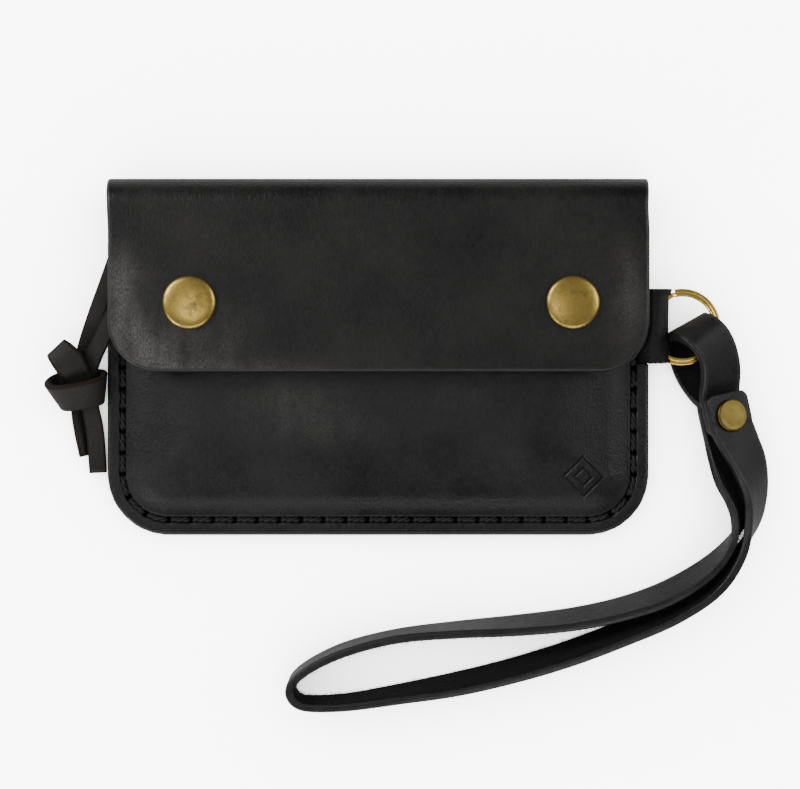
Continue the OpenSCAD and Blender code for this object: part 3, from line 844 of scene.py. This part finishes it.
def zipper_stitches(name, node, z):
    low, high = box_mm(node)
    y = (low[1] + high[1]) / 2
    parts = []
    for n in range(ZIP_STITCHES):
        x = (n - (ZIP_STITCHES - 1) / 2) * STITCH_PITCH
        shares = np.linspace(-0.46, 0.46, 11)
        height = z - 0.3 + 0.55 * np.clip(np.cos(shares * math.pi) * 3, 0, 1)
        line = np.column_stack([x + shares * STITCH_PITCH, np.full(11, y), height])
        parts.append(twisted(line, np.array([[0.0, 0.0, 1.0]]), 0.36, 1.6))
    stand_in(name, node, "pouch", parts, THREAD)


# ---------------------------------------------------------------- snaps and rivet
def turned(name, node, body, profile, place, material, tilt=np.eye(3), sharp=40):
    verts, faces = lathe(profile)
    parts = [(verts @ tilt.T + np.array(place), faces)]
    stand_in(name, node, body, parts, material, sharp)


def snaps():
    top = flap_high[2] - 0.12
    under = flap_low[2]
    for side, x in zip(("left", "right"), SNAP_XS):
        cap = [(0, -0.6), (6.6, -0.6), (7.1, -0.2), (7.42, 0.25), (7.5, 0.62), (7.4, 0.95),
               (7.12, 1.16)]
        cap += [(7.05 * math.cos(a), 1.16 + 0.86 * math.sin(a)) for a in np.linspace(0.16, 1.45, 14)]
        cap += [(0, 2.03)]
        turned(f"snap_cap_{side}_dome", f"snap_cap_{side}", "flap", cap, (x, SNAP_Y, top),
               ANTIQUE, sharp=60)
        socket = [(3.75, -2.5), (3.9, -2.8), (5.5, -2.8), (5.9, -2.5), (6.0, -1.9), (6.2, -1.6),
                  (6.2, -0.2), (6.0, 0), (2.4, 0), (2.4, -1.0), (3.3, -1.1), (3.6, -1.5),
                  (3.4, -2.0), (3.75, -2.5)]
        turned(f"snap_socket_{side}_ring", f"snap_socket_{side}", "flap", socket,
               (x, SNAP_Y, under - 0.02), ANTIQUE)
        stud = [(0, 1.5), (1.2, 1.5), (1.4, 2.9), (1.9, 3.0), (2.7, 2.9), (3.05, 2.55), (3.1, 2.15),
                (2.65, 1.7), (2.55, 1.0), (3.0, 0.8), (5.0, 0.62), (5.4, 0.4), (5.5, -0.1), (0, -0.1)]
        turned(f"snap_stud_{side}_turned", f"snap_stud_{side}", "pouch", stud,
               (x, SNAP_Y, FRONT_Z - 0.05), ANTIQUE)


RIVET_C = np.array([97.6, -17.4, 4.0])
RIVET_TILT = math.radians(20)
STRAP_DIR = unit(np.array([0.22, -1, 0]))
STRAP_SIDE = np.array([STRAP_DIR[1], -STRAP_DIR[0], 0])
RIVET_AXIS = math.cos(RIVET_TILT) * np.array([0, 0, 1.0]) - math.sin(RIVET_TILT) * STRAP_SIDE
STRAP_W, STRAP_T = 12.4, 2.4
LAYER_H = STRAP_T + 0.4


def rivet():
    across = unit(np.cross(RIVET_AXIS, STRAP_DIR))
    turn = np.column_stack([across, np.cross(RIVET_AXIS, across), RIVET_AXIS])
    top = 2 * LAYER_H + STRAP_T / 2 + 0.05
    cap = [(0, -0.05), (4.3, -0.05), (4.62, 0.2), (4.66, 0.55), (4.5, 0.92), (4.2, 1.08),
           (3.9, 1.1), (3.6, 1.04), (2.6, 1.1), (1.3, 1.15), (0, 1.17)]
    turned("strap_rivet_top", "strap_rivet_cap", "strap", cap, RIVET_C + top * RIVET_AXIS,
           RIVET_BRASS, turn, sharp=70)
    low = -STRAP_T / 2 - 1.1
    post = [(0, 0), (3.6, 0), (4.3, 0.15), (4.5, 0.5), (4.4, 0.95), (4.0, 1.05), (1.5, 1.05),
            (1.5, top - low - 0.05), (0, top - low - 0.05)]
    turned("strap_rivet_base", "strap_rivet_post", "strap", post, RIVET_C + low * RIVET_AXIS,
           RIVET_BRASS, turn)


# ---------------------------------------------------------------- strap
def station(point, level, tilt):
    """A point of the strap's middle and its width way, turned up by tilt degrees from level."""
    a = math.radians(tilt)
    across = math.cos(a) * np.asarray(level) + math.sin(a) * np.array([0, 0, 1.0])
    return np.concatenate([point, across])


def by_rivet(d, h):
    return station(RIVET_C + d * STRAP_DIR + h * RIVET_AXIS, STRAP_SIDE, math.degrees(RIVET_TILT))


def rivet_run(a, b, h):
    return [by_rivet(d, h) for d in (a, a / 2, 0, b / 2, b)]


STRAP_EYE = (
    (97.2, -5.5, 8.6, 22, 13), (96.4, -1, 10.7, 25, 17), (94.8, 2.8, 12.3, 25, 22),
    (92.2, 5.8, 13.2, 20, 26), (89.8, 7.6, 11.8, 12, 29), (88.3, 8.5, 7.6, 9, 29),
    (89, 7.2, 3.4, 6, 27), (89.4, 3.5, 1.8, 2, 20), (90.1, -1.2, 1.8, 2, 18),
    (92, -5.6, 2, 5, 22), (94.6, -9.6, 2.8, 12, 20))
STRAP_LOOP = (
    (99.2, -29, 5.2, 33), (99.9, -35, 6, 48), (101.9, -40.5, 6.5, 58),
    (102.8, -46.5, 6.7, 66), (100, -53.6, 6.7, 88), (93.2, -60.8, 6.7, 102),
    (82.4, -67.4, 6.7, 108), (70, -71.8, 6.7, 107), (56, -74.8, 6.7, 106),
    (40, -76.6, 6.7, 103), (22, -77.9, 6.7, 97), (6, -79.6, 6.7, 93),
    (-8, -83, 6.7, 93), (-18, -87.4, 6.7, 92), (-23.6, -91.6, 6.7, 91),
    (-24.8, -95.2, 6.7, 89), (-22.8, -98, 6.7, 88), (-18.4, -98.9, 6.7, 86),
    (-8, -98.4, 6.7, 84), (6, -96.2, 6.7, 80), (22, -93.4, 6.7, 74),
    (38, -89.6, 6.7, 72), (54, -84.8, 6.7, 71), (70, -78.8, 6.7, 71),
    (84, -72.8, 6.7, 72), (95.4, -65.4, 6.7, 76), (102.8, -56.4, 6.7, 90),
    (106.6, -47, 7.2, 112), (107.2, -38.4, 8, 126), (105.2, -30.8, 8.9, 146),
    (102.7, -25.6, 9.5, 154))


def strap_stations():
    made = rivet_run(5, -6.5, LAYER_H)
    for x, y, z, tilt, turn in STRAP_EYE:
        a = math.radians(turn)
        made.append(station(np.array([x, y, z]), (-math.cos(a), -math.sin(a), 0), tilt))
    made += rivet_run(-5, 6.5, 0)
    loop = np.array(STRAP_LOOP)
    way = unit(np.vstack([loop[1] - loop[0], loop[2:] - loop[:-2], loop[-1] - loop[-2]])[:, :2])
    for (x, y, z, tilt), (tx, ty) in zip(loop, way):
        made.append(station(np.array([x, y, z]), (ty, -tx, 0), tilt))
    return made + rivet_run(3.2, -6.5, 2 * LAYER_H)


STRAP_CORNER = 0.55
STRAP_END_R = 2.6


def strap_section():
    """The strap's section, with extra points across its two flat sides."""
    corners = round_section(STRAP_W, STRAP_T, STRAP_CORNER)
    flat, count = STRAP_W - 2 * STRAP_CORNER, 12
    xs = [STRAP_W / 2 - STRAP_CORNER - flat * k / count for k in range(1, count)]
    top = [(x, STRAP_T / 2) for x in xs]
    low = [(-x, -STRAP_T / 2) for x in xs]
    return np.vstack([corners[:4], top, corners[4:12], low, corners[12:]])


def strap():
    line = smooth_line(strap_stations(), 7)
    points, across = line[:, :3], line[:, 3:]
    section = strap_section()
    m, n = len(section), len(points)
    along = np.concatenate([[0], np.cumsum(np.linalg.norm(np.diff(points, axis=0), axis=1))])
    left = along[-1] - along
    ends_wide = np.ones((n, 2))
    r = STRAP_END_R
    for distance in (along, left):
        corner = np.clip(r - distance, 0, r)
        ends_wide[:, 0] -= 2 * (r - np.sqrt(r * r - corner ** 2 + 1e-9)) / STRAP_W * 0.86
    ends_wide[:, 0] *= 1 + 0.08 * smoothstep(-left, -22, -5)
    verts, faces = sweep(points, across, section, ends_wide)
    kinds = strip_kinds(section, n - 1, 0.5, 0, 1, 2)
    flat = np.column_stack([np.tile(section[:, 0], n), np.repeat(along, m)])
    rim = (np.abs(section[:, 0]) > STRAP_W / 2 - 0.9) & (section[:, 1] > 0.5)
    wear_and_sheen = np.tile(np.where(rim, 0.5, 0.0), n)
    obj = make("strap_leather", verts, faces, [STRAP_GRAIN, STRAP_FLESH, STRAP_EDGE],
               kinds, leather_maps(flat, wear_and_sheen))
    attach(obj, "strap")
    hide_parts("wrist_strap")
    strap_fibres(points, across)


STRAP_FIBRES, LOOP_FIBRES = 2600, 160
FIBRE_TAPER = np.array([[1, 1], [0.7, 0.7], [0.2, 0.2]])


def fibre(line, level, radius):
    return sweep(line, np.tile(level, (3, 1)), circle_section(radius, 3), FIBRE_TAPER)


def strap_fibres(points, across):
    """Loose fibres along the strap's edges on its flesh side."""
    t = tangents(points)
    w = unit(across - np.sum(across * t, axis=1, keepdims=True) * t)
    up = np.cross(t, w)
    parts = []
    for _ in range(STRAP_FIBRES):
        i = random.randrange(60, len(points) - 45)
        way = random.choice((-1, 1))
        root = (points[i] + t[i] * random.uniform(-0.8, 0.8)
                + w[i] * way * (STRAP_W / 2 - random.uniform(0.15, 0.9))
                - up[i] * (STRAP_T / 2 - 0.05))
        reach = 0.25 + 1.1 * random.random() ** 2.5
        aim = unit(way * random.uniform(0.0, 0.8) * w[i] - random.uniform(0.4, 1.0) * up[i]
                   + t[i] * random.uniform(-0.8, 0.8))
        bend = unit(np.cross(aim, t[i])) * random.uniform(-0.25, 0.25)
        line = np.array([root, root + aim * reach * 0.5 + bend * reach, root + aim * reach])
        if line[:, 2].min() < 0.05:
            continue
        parts.append(fibre(line, t[i] + 0.01, 0.075))
    verts, faces = join(parts)
    obj = make("strap_fibres", verts, faces, [STRAP_FLESH])
    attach(obj, "strap")


# ---------------------------------------------------------------- side loop and ring
def side_loop():
    """A strip folded round the ring's wire, swollen in the middle and tucked in at its ends."""
    low, high = box_mm("side_loop")
    rows, count = 24, 34
    y_mid, half = (low[1] + high[1]) / 2, (high[1] - low[1]) / 2
    wire_z = joint_mm("ring_swing")[2]
    thick = 1.6
    outer, inner = [], []
    for j in range(rows + 1):
        v = -1 + 2 * j / rows
        y = y_mid + v * half
        swell = 1 - 0.5 * smoothstep(np.abs(v), 0.45, 1.0)
        flare = 0.8 * smoothstep(np.abs(v), 0.78, 1.0) * (1 if v > 0 else 0.35)
        tip = 83.3 + flare - 0.5 * math.cos(v * 1.2)
        top = wire_z + 3.3 * (0.86 + 0.14 * swell)
        bottom = 1.85
        path = []
        for k in range(count + 1):
            a = -math.pi / 2 + math.pi * k / count
            c = math.cos(a) ** 0.75
            body = tip - 3.4 + 3.4 * c
            z = (top + bottom) / 2 + (top - bottom) / 2 * math.sin(a)
            path.append((body, z))
        root_top = [(71.5, 2.75), (73.6, 2.9), (74.6, 3.7 + 1.8 * swell),
                    (76.0, top - 1.1 + 0.4 * swell), (77.6, top - 0.2)]
        root_low = [(71.5, 1.6), (75.5, 1.75), (77.6, 1.85)]
        line = smooth_line(np.array(root_low + path + root_top[::-1]), 1)
        line = np.column_stack([line[:, 0], np.full(len(line), y), line[:, 1]])
        t = tangents(line)
        n = unit(np.cross(np.array([[0.0, 1.0, 0.0]]), t))
        outer.append(line)
        inner.append(line + n * thick)
    m = len(outer[0])
    centre = np.array([78.5, y_mid, wire_z])
    reach = [np.linalg.norm(side[rows // 2][m // 2] - centre) for side in (inner, outer)]
    if reach[0] > reach[1]:
        inner = [2 * o - i for o, i in zip(outer, inner)]
    verts = np.vstack(outer + inner)
    total = (rows + 1) * m
    faces, kinds = [], []

    def cell(layer, j, k):
        return layer * total + j * m + k

    for j in range(rows):
        for k in range(m - 1):
            faces.append((cell(0, j, k), cell(0, j, k + 1), cell(0, j + 1, k + 1), cell(0, j + 1, k)))
            faces.append((cell(1, j, k), cell(1, j + 1, k), cell(1, j + 1, k + 1), cell(1, j, k + 1)))
            kinds += [0, 1]
        for k in (0, m - 1):
            faces.append((cell(0, j, k), cell(0, j + 1, k), cell(1, j + 1, k), cell(1, j, k)))
            kinds.append(2)
    for j in (0, rows):
        for k in range(m - 1):
            faces.append((cell(0, j, k), cell(1, j, k), cell(1, j, k + 1), cell(0, j, k + 1)))
            kinds.append(2)
    flat = np.array([(k * 0.8, j * half * 2 / rows) for _ in (0, 1) for j in range(rows + 1)
                     for k in range(m)])
    obj = make("side_loop_leather", verts, faces, [LOOP_GRAIN, STRAP_FLESH, STRAP_EDGE],
               kinds, leather_maps(flat, np.zeros(len(verts))), sharp=50)
    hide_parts("side_loop")
    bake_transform(obj)
    loop_fibres(low)


def loop_fibres(low):
    """Loose fibres along the loop's lower edge."""
    parts = []
    for _ in range(LOOP_FIBRES):
        x = random.uniform(77.2, 82.0)
        z = random.uniform(2.2, 7.6)
        root = np.array([x, low[1] + 0.2, z])
        aim = unit(np.array([random.uniform(-0.7, 0.7), -1, random.uniform(-0.6, 0.4)]))
        reach = random.uniform(0.25, 0.7)
        line = np.array([root, root + aim * reach * 0.6, root + aim * reach])
        parts.append(fibre(line, [0.01, 0.02, 1.0], 0.07))
    verts, faces = join(parts)
    obj = make("side_loop_fibres", verts, faces, [STRAP_FLESH])
    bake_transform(obj)


RING_R, RING_STEP, RING_LIFT = 10.3, 1.0, 0.58


def split_ring():
    """Flat spring wire wound twice, with a short cross-over where it steps up."""
    axis = np.array(next(j for j in frame["joints"] if j["name"] == "strap_turn")["axis"], float)
    east = unit(np.cross(np.array([0, 1.0, 0]), axis))
    north = np.cross(axis, east)
    wire = round_section(1.3, 1.1, 0.42, 4)
    start = math.radians(101)
    turns = np.linspace(0, 4 * math.pi - math.radians(7), 260)
    step = smoothstep(turns, 2 * math.pi - 0.55, 2 * math.pi + 0.05)
    a = start - turns
    lift = (-RING_LIFT + 2 * RING_LIFT * step)[:, None]
    radius = (RING_R - RING_STEP * step)[:, None]
    out = np.cos(a)[:, None] * east + np.sin(a)[:, None] * north
    line = ring_c + radius * out + lift * axis
    verts, faces = sweep(line, out, wire)
    # The wire's two cut ends take the painted shade of the awl holes
    kinds = [0] * (len(faces) - 2) + [1, 1]
    obj = make("split_ring_wire", verts, faces, [RING, HOLE_SHADE], kinds, sharp=50)
    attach(obj, "ring")
    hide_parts("split_ring")


# ---------------------------------------------------------------- lace
LACE_W, LACE_T, LACE_Z = 4.8, 1.8, 10.8
TEETH_Y = 40.4
LACE_TURN_X, LACE_TURN_R = -68.3, 3.4
LACE_TURN = [(LACE_TURN_X + LACE_TURN_R * math.cos(math.radians(a)),
              TEETH_Y + LACE_TURN_R * math.sin(math.radians(a)), LACE_Z) for a in range(6, 181, 29)]
LACE_LEFT = LACE_TURN + [
    (-71.9, 36, LACE_Z), (-73.3, 29, LACE_Z), (-76.2, 21, 9.8), (-79.8, 12, 7.8), (-82.8, 4, 5.6),
    (-84.2, -1.1, 4.6), (-85.2, -7, 3.8), (-86, -12, 2.8), (-86.0, -16, 1.9), (-85.2, -22, 1.4),
    (-83.8, -28.6, 1.2)]
LACE_RIGHT = [
    (-65, 40, LACE_Z), (-65.3, 35, LACE_Z), (-67.2, 28, LACE_Z), (-70.4, 20, LACE_Z),
    (-74.4, 12, 10.6), (-78, 5, 9.4), (-81, -1, 7.6), (-82.6, -6, 6.2), (-82.9, -11, 4.8),
    (-82.0, -16, 3.9), (-81.0, -22, 3.0), (-80.3, -33.4, 1.9)]


def lace_half(name, points, tilts, nodes, width):
    """One half of the lace, from under the slider's bridge through the knot to its cut end."""
    line = smooth_line(points, 6)
    t = tangents(line)
    level = unit(np.column_stack([t[:, 1], -t[:, 0], np.zeros(len(t))]))
    a = np.radians(np.interp(np.linspace(0, 1, len(line)), *zip(*tilts)))[:, None]
    across = np.cos(a) * level + np.sin(a) * np.array([0, 0, 1.0])
    section = round_section(LACE_W, LACE_T, 0.5)
    shares = np.linspace(0, 1, len(line))
    sizes = np.column_stack([np.interp(shares, [0, 0.7, 0.85, 1], [1, 1, width, width]),
                             np.ones(len(line))])
    verts, faces = sweep(line, across, section, sizes)
    kinds = strip_kinds(section, len(line) - 1, 0.45)
    obj = make(name, verts, faces, [LACE_GRAIN, LACE_EDGE], kinds)
    length = float(np.sum(np.linalg.norm(np.diff(line, axis=0), axis=1))) * MM
    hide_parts(*nodes)
    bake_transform(obj)
    return obj, line, length


def lace():
    knot = lace_knot()
    halves = (
        ("lace_half_left", LACE_LEFT, ((0, 0), (0.62, 0), (0.8, 25), (1, 35)),
         ("lace_strand_upper", "lace_tail_left"), 0.85),
        ("lace_half_right", LACE_RIGHT, ((0, 0), (1, 0)), ("lace_strand_lower", "lace_tail_right"), 1.05))
    for name, points, tilts, nodes, width in halves:
        obj, line, length = lace_half(name, points, tilts, nodes, width)


def lace_knot():
    """A short lace wrapped round both strands, with its end standing up out of the wrap."""
    centre = np.array([-85.2, -10.2, 5.2])
    parts, kinds = [], []
    turns = np.linspace(0, 2 * math.pi * 1.06, 80)
    axis = unit(np.array([0.2, -1.0, -0.42]))
    east = unit(np.cross(axis, np.array([0, 0, 1.0])))
    up = np.cross(east, axis)
    a = turns + math.radians(-60)
    lift = np.linspace(-0.8, 0.8, 80)
    wide = np.sign(np.cos(a)) * np.abs(np.cos(a)) ** 0.8
    high = np.sign(np.sin(a)) * np.abs(np.sin(a)) ** 0.8
    ring = (centre + wide[:, None] * east * 6.9 + high[:, None] * up * 4.1
            + lift[:, None] * axis)
    out = unit(np.cos(a)[:, None] * east / 7.4 + np.sin(a)[:, None] * up / 3.9)
    lean = unit(axis[None] - 0.34 * out)
    section = round_section(9.4, 1.7, 0.6)
    parts.append(sweep(ring, lean, section))
    kinds += strip_kinds(section, len(ring) - 1, 0.5)
    tab = smooth_line(np.array([(-83.0, -11.0, 5.2), (-84.4, -7.0, 7.2), (-86.2, -3.4, 9.4),
                                (-88.4, -0.6, 10.4), (-91.0, 2.2, 9.6)]), 6)
    level = unit(np.cross(tangents(tab), np.array([[0.0, 0, 1.0]])))
    shares = np.linspace(0, 1, len(tab))
    width = np.interp(shares, [0, 0.3, 0.62, 0.85, 1], [1.0, 1.15, 1.5, 1.35, 1.15])
    thick = np.interp(shares, [0, 0.5, 0.9, 1], [1.0, 1.5, 1.3, 0.9])
    section = round_section(6.0, 1.9, 0.6)
    parts.append(sweep(tab, level, section, np.column_stack([width, thick])))
    kinds += strip_kinds(section, len(tab) - 1, 0.5)
    verts, faces = join(parts)
    obj = make("lace_knot_wrap", verts, faces, [LACE_GRAIN, LACE_EDGE], kinds)
    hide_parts("lace_knot")
    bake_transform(obj)
    return obj


# ---------------------------------------------------------------- zipper
def tape_sheet(name, node, profile, hw_at):
    """A woven tape along X from its profile of (y, z) points, with a thick cord at its edge."""
    line = np.array(profile, float)
    t = tangents(np.column_stack([np.zeros(len(line)), line]))
    n = np.column_stack([np.zeros(len(line)), -t[:, 2], t[:, 1]])
    columns = np.linspace(-1, 1, 97)
    half = 0.28 + 0.25 * np.exp(-np.arange(len(line)) / 1.2)
    top, low = [], []
    for k, (y, z) in enumerate(line):
        hw = hw_at(y)
        top.append([(u * hw, y + n[k, 1] * half[k], z + n[k, 2] * half[k]) for u in columns])
        low.append([(u * hw, y - n[k, 1] * half[k], z - n[k, 2] * half[k]) for u in columns])
    rows = top + low[::-1]
    m = len(columns)
    verts = np.array(rows).reshape(-1, 3)
    count = len(rows)
    places = [[i * m + k for k in range(m)] for i in range(count)]
    faces = ladder(places + places[:1])
    for k in (0, m - 1):
        faces += [(i * m + k, (i + 1) * m + k, (count - 2 - i) * m + k, (count - 1 - i) * m + k)
                  for i in range(count // 2 - 1)]
    stand_in(name, node, "pouch", [(verts, faces)], TAPE)


def zipper_tapes():
    low, high = box_mm("zipper_tape_front")
    z = (low[2] + high[2]) / 2
    profile = [(high[1] - d, z) for d in (0, 0.5, 1.0, 1.6, 2.6, 4, 6, high[1] - low[1])]
    tape_sheet("zipper_tape_front_woven", "zipper_tape_front", profile,
               lambda y: 61.8 if y < MOUTH_Y else 72.0)
    low, high = box_mm("zipper_tape_back")
    r = FOLD_Z - LEATHER - 0.3
    start = 2 * TEETH_Y - box_mm("zipper_tape_front")[1][1]
    turn = math.acos(max(-1, min(1, (z - FOLD_Z) / r)))
    profile = [(start + d, z) for d in (0, 0.5, 1.0, 1.6)]
    profile += [(FOLD_Y + r * math.sin(a), FOLD_Z + r * math.cos(a))
                for a in np.linspace(turn, math.pi, 12)]
    profile += [(FOLD_Y - d, LEATHER + 0.3) for d in (2, 4, FOLD_Y - low[1])]
    tape_sheet("zipper_tape_back_woven", "zipper_tape_back", profile, lambda y: 72.0)


def tooth(x, way, z):
    """One tooth: a rounded block with a nib and a hollow, closed round the tape's edge."""
    outline = [(-0.5, -1.9), (0.5, -1.9), (0.52, -0.6), (0.36, 0.1), (0.5, 0.5), (0.42, 0.82),
               (0.15, 0.95), (-0.15, 0.95), (-0.42, 0.82), (-0.5, 0.5), (-0.36, 0.1), (-0.52, -0.6)]
    verts, n = [], len(outline)
    for level, shrink in ((-1.3, 0.7), (-1.05, 1.0), (1.05, 1.0), (1.3, 0.7)):
        tall = 0.85 + 0.15 * shrink
        verts += [(x + px * shrink * 1.05, TEETH_Y + way * (-0.5 + (py + 0.5) * tall), z + level)
                  for px, py in outline]
    return verts, ends(4, n) + walls(4, n)


TOOTH_W, TOOTH_PITCH = 1.15, 2.6


def zipper_teeth():
    for name, way in (("front", 1), ("back", -1)):
        low, high = box_mm(f"zipper_teeth_{name}")
        z = (low[2] + high[2]) / 2
        count = int(round((high[0] - low[0] - TOOTH_W) / TOOTH_PITCH)) + 1
        parts = [tooth(low[0] + TOOTH_W / 2 + TOOTH_PITCH * k, way, z) for k in range(count)]
        stand_in(f"zipper_teeth_{name}_row", f"zipper_teeth_{name}", "pouch", parts, ZIP,
                 35)


def plate(outline, z0, z1, bevel):
    """A plate of an outline with bevelled edges."""
    line = np.array(outline, float)
    middle = line.mean(axis=0)
    inner = middle + (line - middle) * (1 - bevel / np.abs(line - middle).max())
    n = len(line)
    verts = [(x, y, z0) for x, y in inner] + [(x, y, z0 + bevel) for x, y in line]
    verts += [(x, y, z1 - bevel) for x, y in line] + [(x, y, z1) for x, y in inner]
    return verts, ends(4, n) + walls(4, n)


def zipper_slider():
    low, high = box_mm("zipper_slider")
    cx, cy, cz = (low + high) / 2
    lx, ly = (high - low)[:2] / 2
    outline = []
    for k in range(40):
        a = 2 * math.pi * k / 40
        c, s = math.cos(a), math.sin(a)
        outline.append((cx + lx * math.copysign(abs(c) ** 0.55, c),
                        cy + ly * (0.86 - 0.14 * c) * math.copysign(abs(s) ** 0.6, s)))
    parts = [plate(outline, low[2], low[2] + 1.1, 0.25),
             plate(outline, high[2] - 1.1, high[2], 0.25)]
    for way in (-1, 1):
        rail = [(cx - lx * 0.8, cy + way * (ly - 0.9)), (cx + lx * 0.75, cy + way * (ly - 1.5)),
                (cx + lx * 0.75, cy + way * (ly - 0.9)), (cx - lx * 0.8, cy + way * (ly - 0.15))]
        parts.append(plate(rail, low[2] + 0.9, cz - 0.6, 0.05))
        parts.append(plate(rail, cz + 0.6, high[2] - 0.9, 0.05))
    wedge = [(cx - lx + 0.3, cy - 0.85), (cx - lx + 1.9, cy - 0.35), (cx - lx + 1.9, cy + 0.35),
             (cx - lx + 0.3, cy + 0.85)]
    parts.append(plate(wedge, low[2] + 0.5, high[2] - 0.5, 0.05))
    stand_in("zipper_slider_body", "zipper_slider", "slider", parts, ZIP, 35)
    slider_arch()


def slider_arch():
    """The bridge on the slider that the lace is looped through."""
    low, high = box_mm("zipper_slider_bridge")
    y = (low[1] + high[1]) / 2
    x0, x1, z0, z1 = low[0] + 0.4, high[0] - 0.4, low[2] - 0.1, high[2] - 0.4
    line = smooth_line([(x0, y, z0), (x0, y, z0 + 1.4), (x0 + 0.5, y, z1 - 0.2),
                        (x0 + 1.6, y, z1), (x1 - 1.6, y, z1), (x1 - 0.5, y, z1 - 0.2),
                        (x1, y, z0 + 1.4), (x1, y, z0)], 5)
    across = np.tile([0.0, 1.0, 0.0], (len(line), 1))
    stand_in("zipper_slider_arch", "zipper_slider_bridge", "slider",
             [sweep(line, across, round_section(1.6, 0.8, 0.25))], ZIP, 50)


def zipper_stops():
    for node in ("zipper_top_stops", "zipper_bottom_stop"):
        low, high = box_mm(node)
        cx, cy = (low + high)[:2] / 2
        spans = [(low[1], high[1])]
        if node == "zipper_top_stops":
            spans = [(cy + 0.1, high[1]), (low[1], cy - 0.1)]
        parts = []
        for a, b in spans:
            half, mid, hx = (b - a) / 2, (a + b) / 2, (high[0] - low[0]) / 2
            outline = [(cx + hx * math.copysign(abs(math.cos(t)) ** 0.5, math.cos(t)),
                        mid + half * math.copysign(abs(math.sin(t)) ** 0.5, math.sin(t)))
                       for t in np.linspace(0, 2 * math.pi, 24, endpoint=False)]
            parts.append(plate(outline, low[2], high[2], 0.35))
        stand_in(f"{node}_crimped", node, "pouch", parts, ZIP, 35)


# ---------------------------------------------------------------- the scene
add_camera()
WRAP_GRAIN = grain_leather("wrap_leather", ((0.002, 0.0018, 0.0017), (0.0122, 0.0113, 0.0106)))
FRONT_GRAIN = grain_leather("front_leather", ((0.0018, 0.0019, 0.002), (0.0105, 0.0107, 0.0108)),
                            press=lozenge)
STRAP_GRAIN = grain_leather("strap_grain", ((0.0025, 0.0025, 0.0025), (0.0095, 0.0094, 0.0093)),
                            rough=0.46)
LOOP_GRAIN = grain_leather("loop_grain", ((0.003, 0.003, 0.003), (0.0095, 0.0094, 0.0093)), rough=0.45)
LACE_GRAIN = grain_leather("lace_grain", ((0.0045, 0.0038, 0.0034), (0.0135, 0.0115, 0.0105)), None,
                           rough=0.5)
LACE_EDGE = flesh_leather("lace_edge", ((0.006, 0.0042, 0.0032), (0.026, 0.0175, 0.0125)))
BODY_EDGE = cut_edge("body_edge", (0.0125, 0.0125, 0.0125))
STRAP_EDGE = cut_edge("strap_edge", (0.0095, 0.009, 0.0086))
BODY_FLESH = flesh_leather("body_flesh", ((0.006, 0.0055, 0.005), (0.026, 0.024, 0.022)))
STRAP_FLESH = flesh_leather("strap_flesh", ((0.0025, 0.0025, 0.0025), (0.0125, 0.012, 0.0117)))
ANTIQUE = brass("antique_brass", (0.42, 0.295, 0.075), (0.1, 0.072, 0.03), 0.15, 0.34)
RIVET_BRASS = brass("rivet_brass", (0.1, 0.075, 0.02), (0.05, 0.038, 0.012), 0.1, 0.36)
RING = brass("ring_brass", (0.9, 0.62, 0.14), (0.5, 0.3, 0.08), 0.02, 0.16, 0.2)
ZIP = brass("zipper_brass", (0.55, 0.4, 0.17), (0.25, 0.18, 0.09), 0.06, 0.34)
TAPE = woven_tape()
THREAD = waxed_thread()
HOLE_SHADE = awl_hole_shade()

lace()
wrap([WRAP_GRAIN, BODY_FLESH, BODY_EDGE, HOLE_SHADE])
front_panel([FRONT_GRAIN, BODY_FLESH, BODY_EDGE, HOLE_SHADE])
seam_stitches("seam_stitches_front_thread", "seam_stitches_front", RIM_Z - 0.6, 1)
seam_stitches("seam_stitches_back_thread", "seam_stitches_back", 0.6, -1)
zipper_stitches("zipper_stitches_front_thread", "zipper_stitches_front", FRONT_Z)
zipper_stitches("zipper_stitches_back_thread", "zipper_stitches_back", LEATHER + 0.6)
snaps()
rivet()
strap()
side_loop()
split_ring()
zipper_tapes()
zipper_teeth()
zipper_slider()
zipper_stops()
for node in ("snap_post_left", "snap_post_right"):
    post = frame["nodes"][node]
    post.data.materials.clear()
    post.data.materials.append(ANTIQUE)
add_stage()
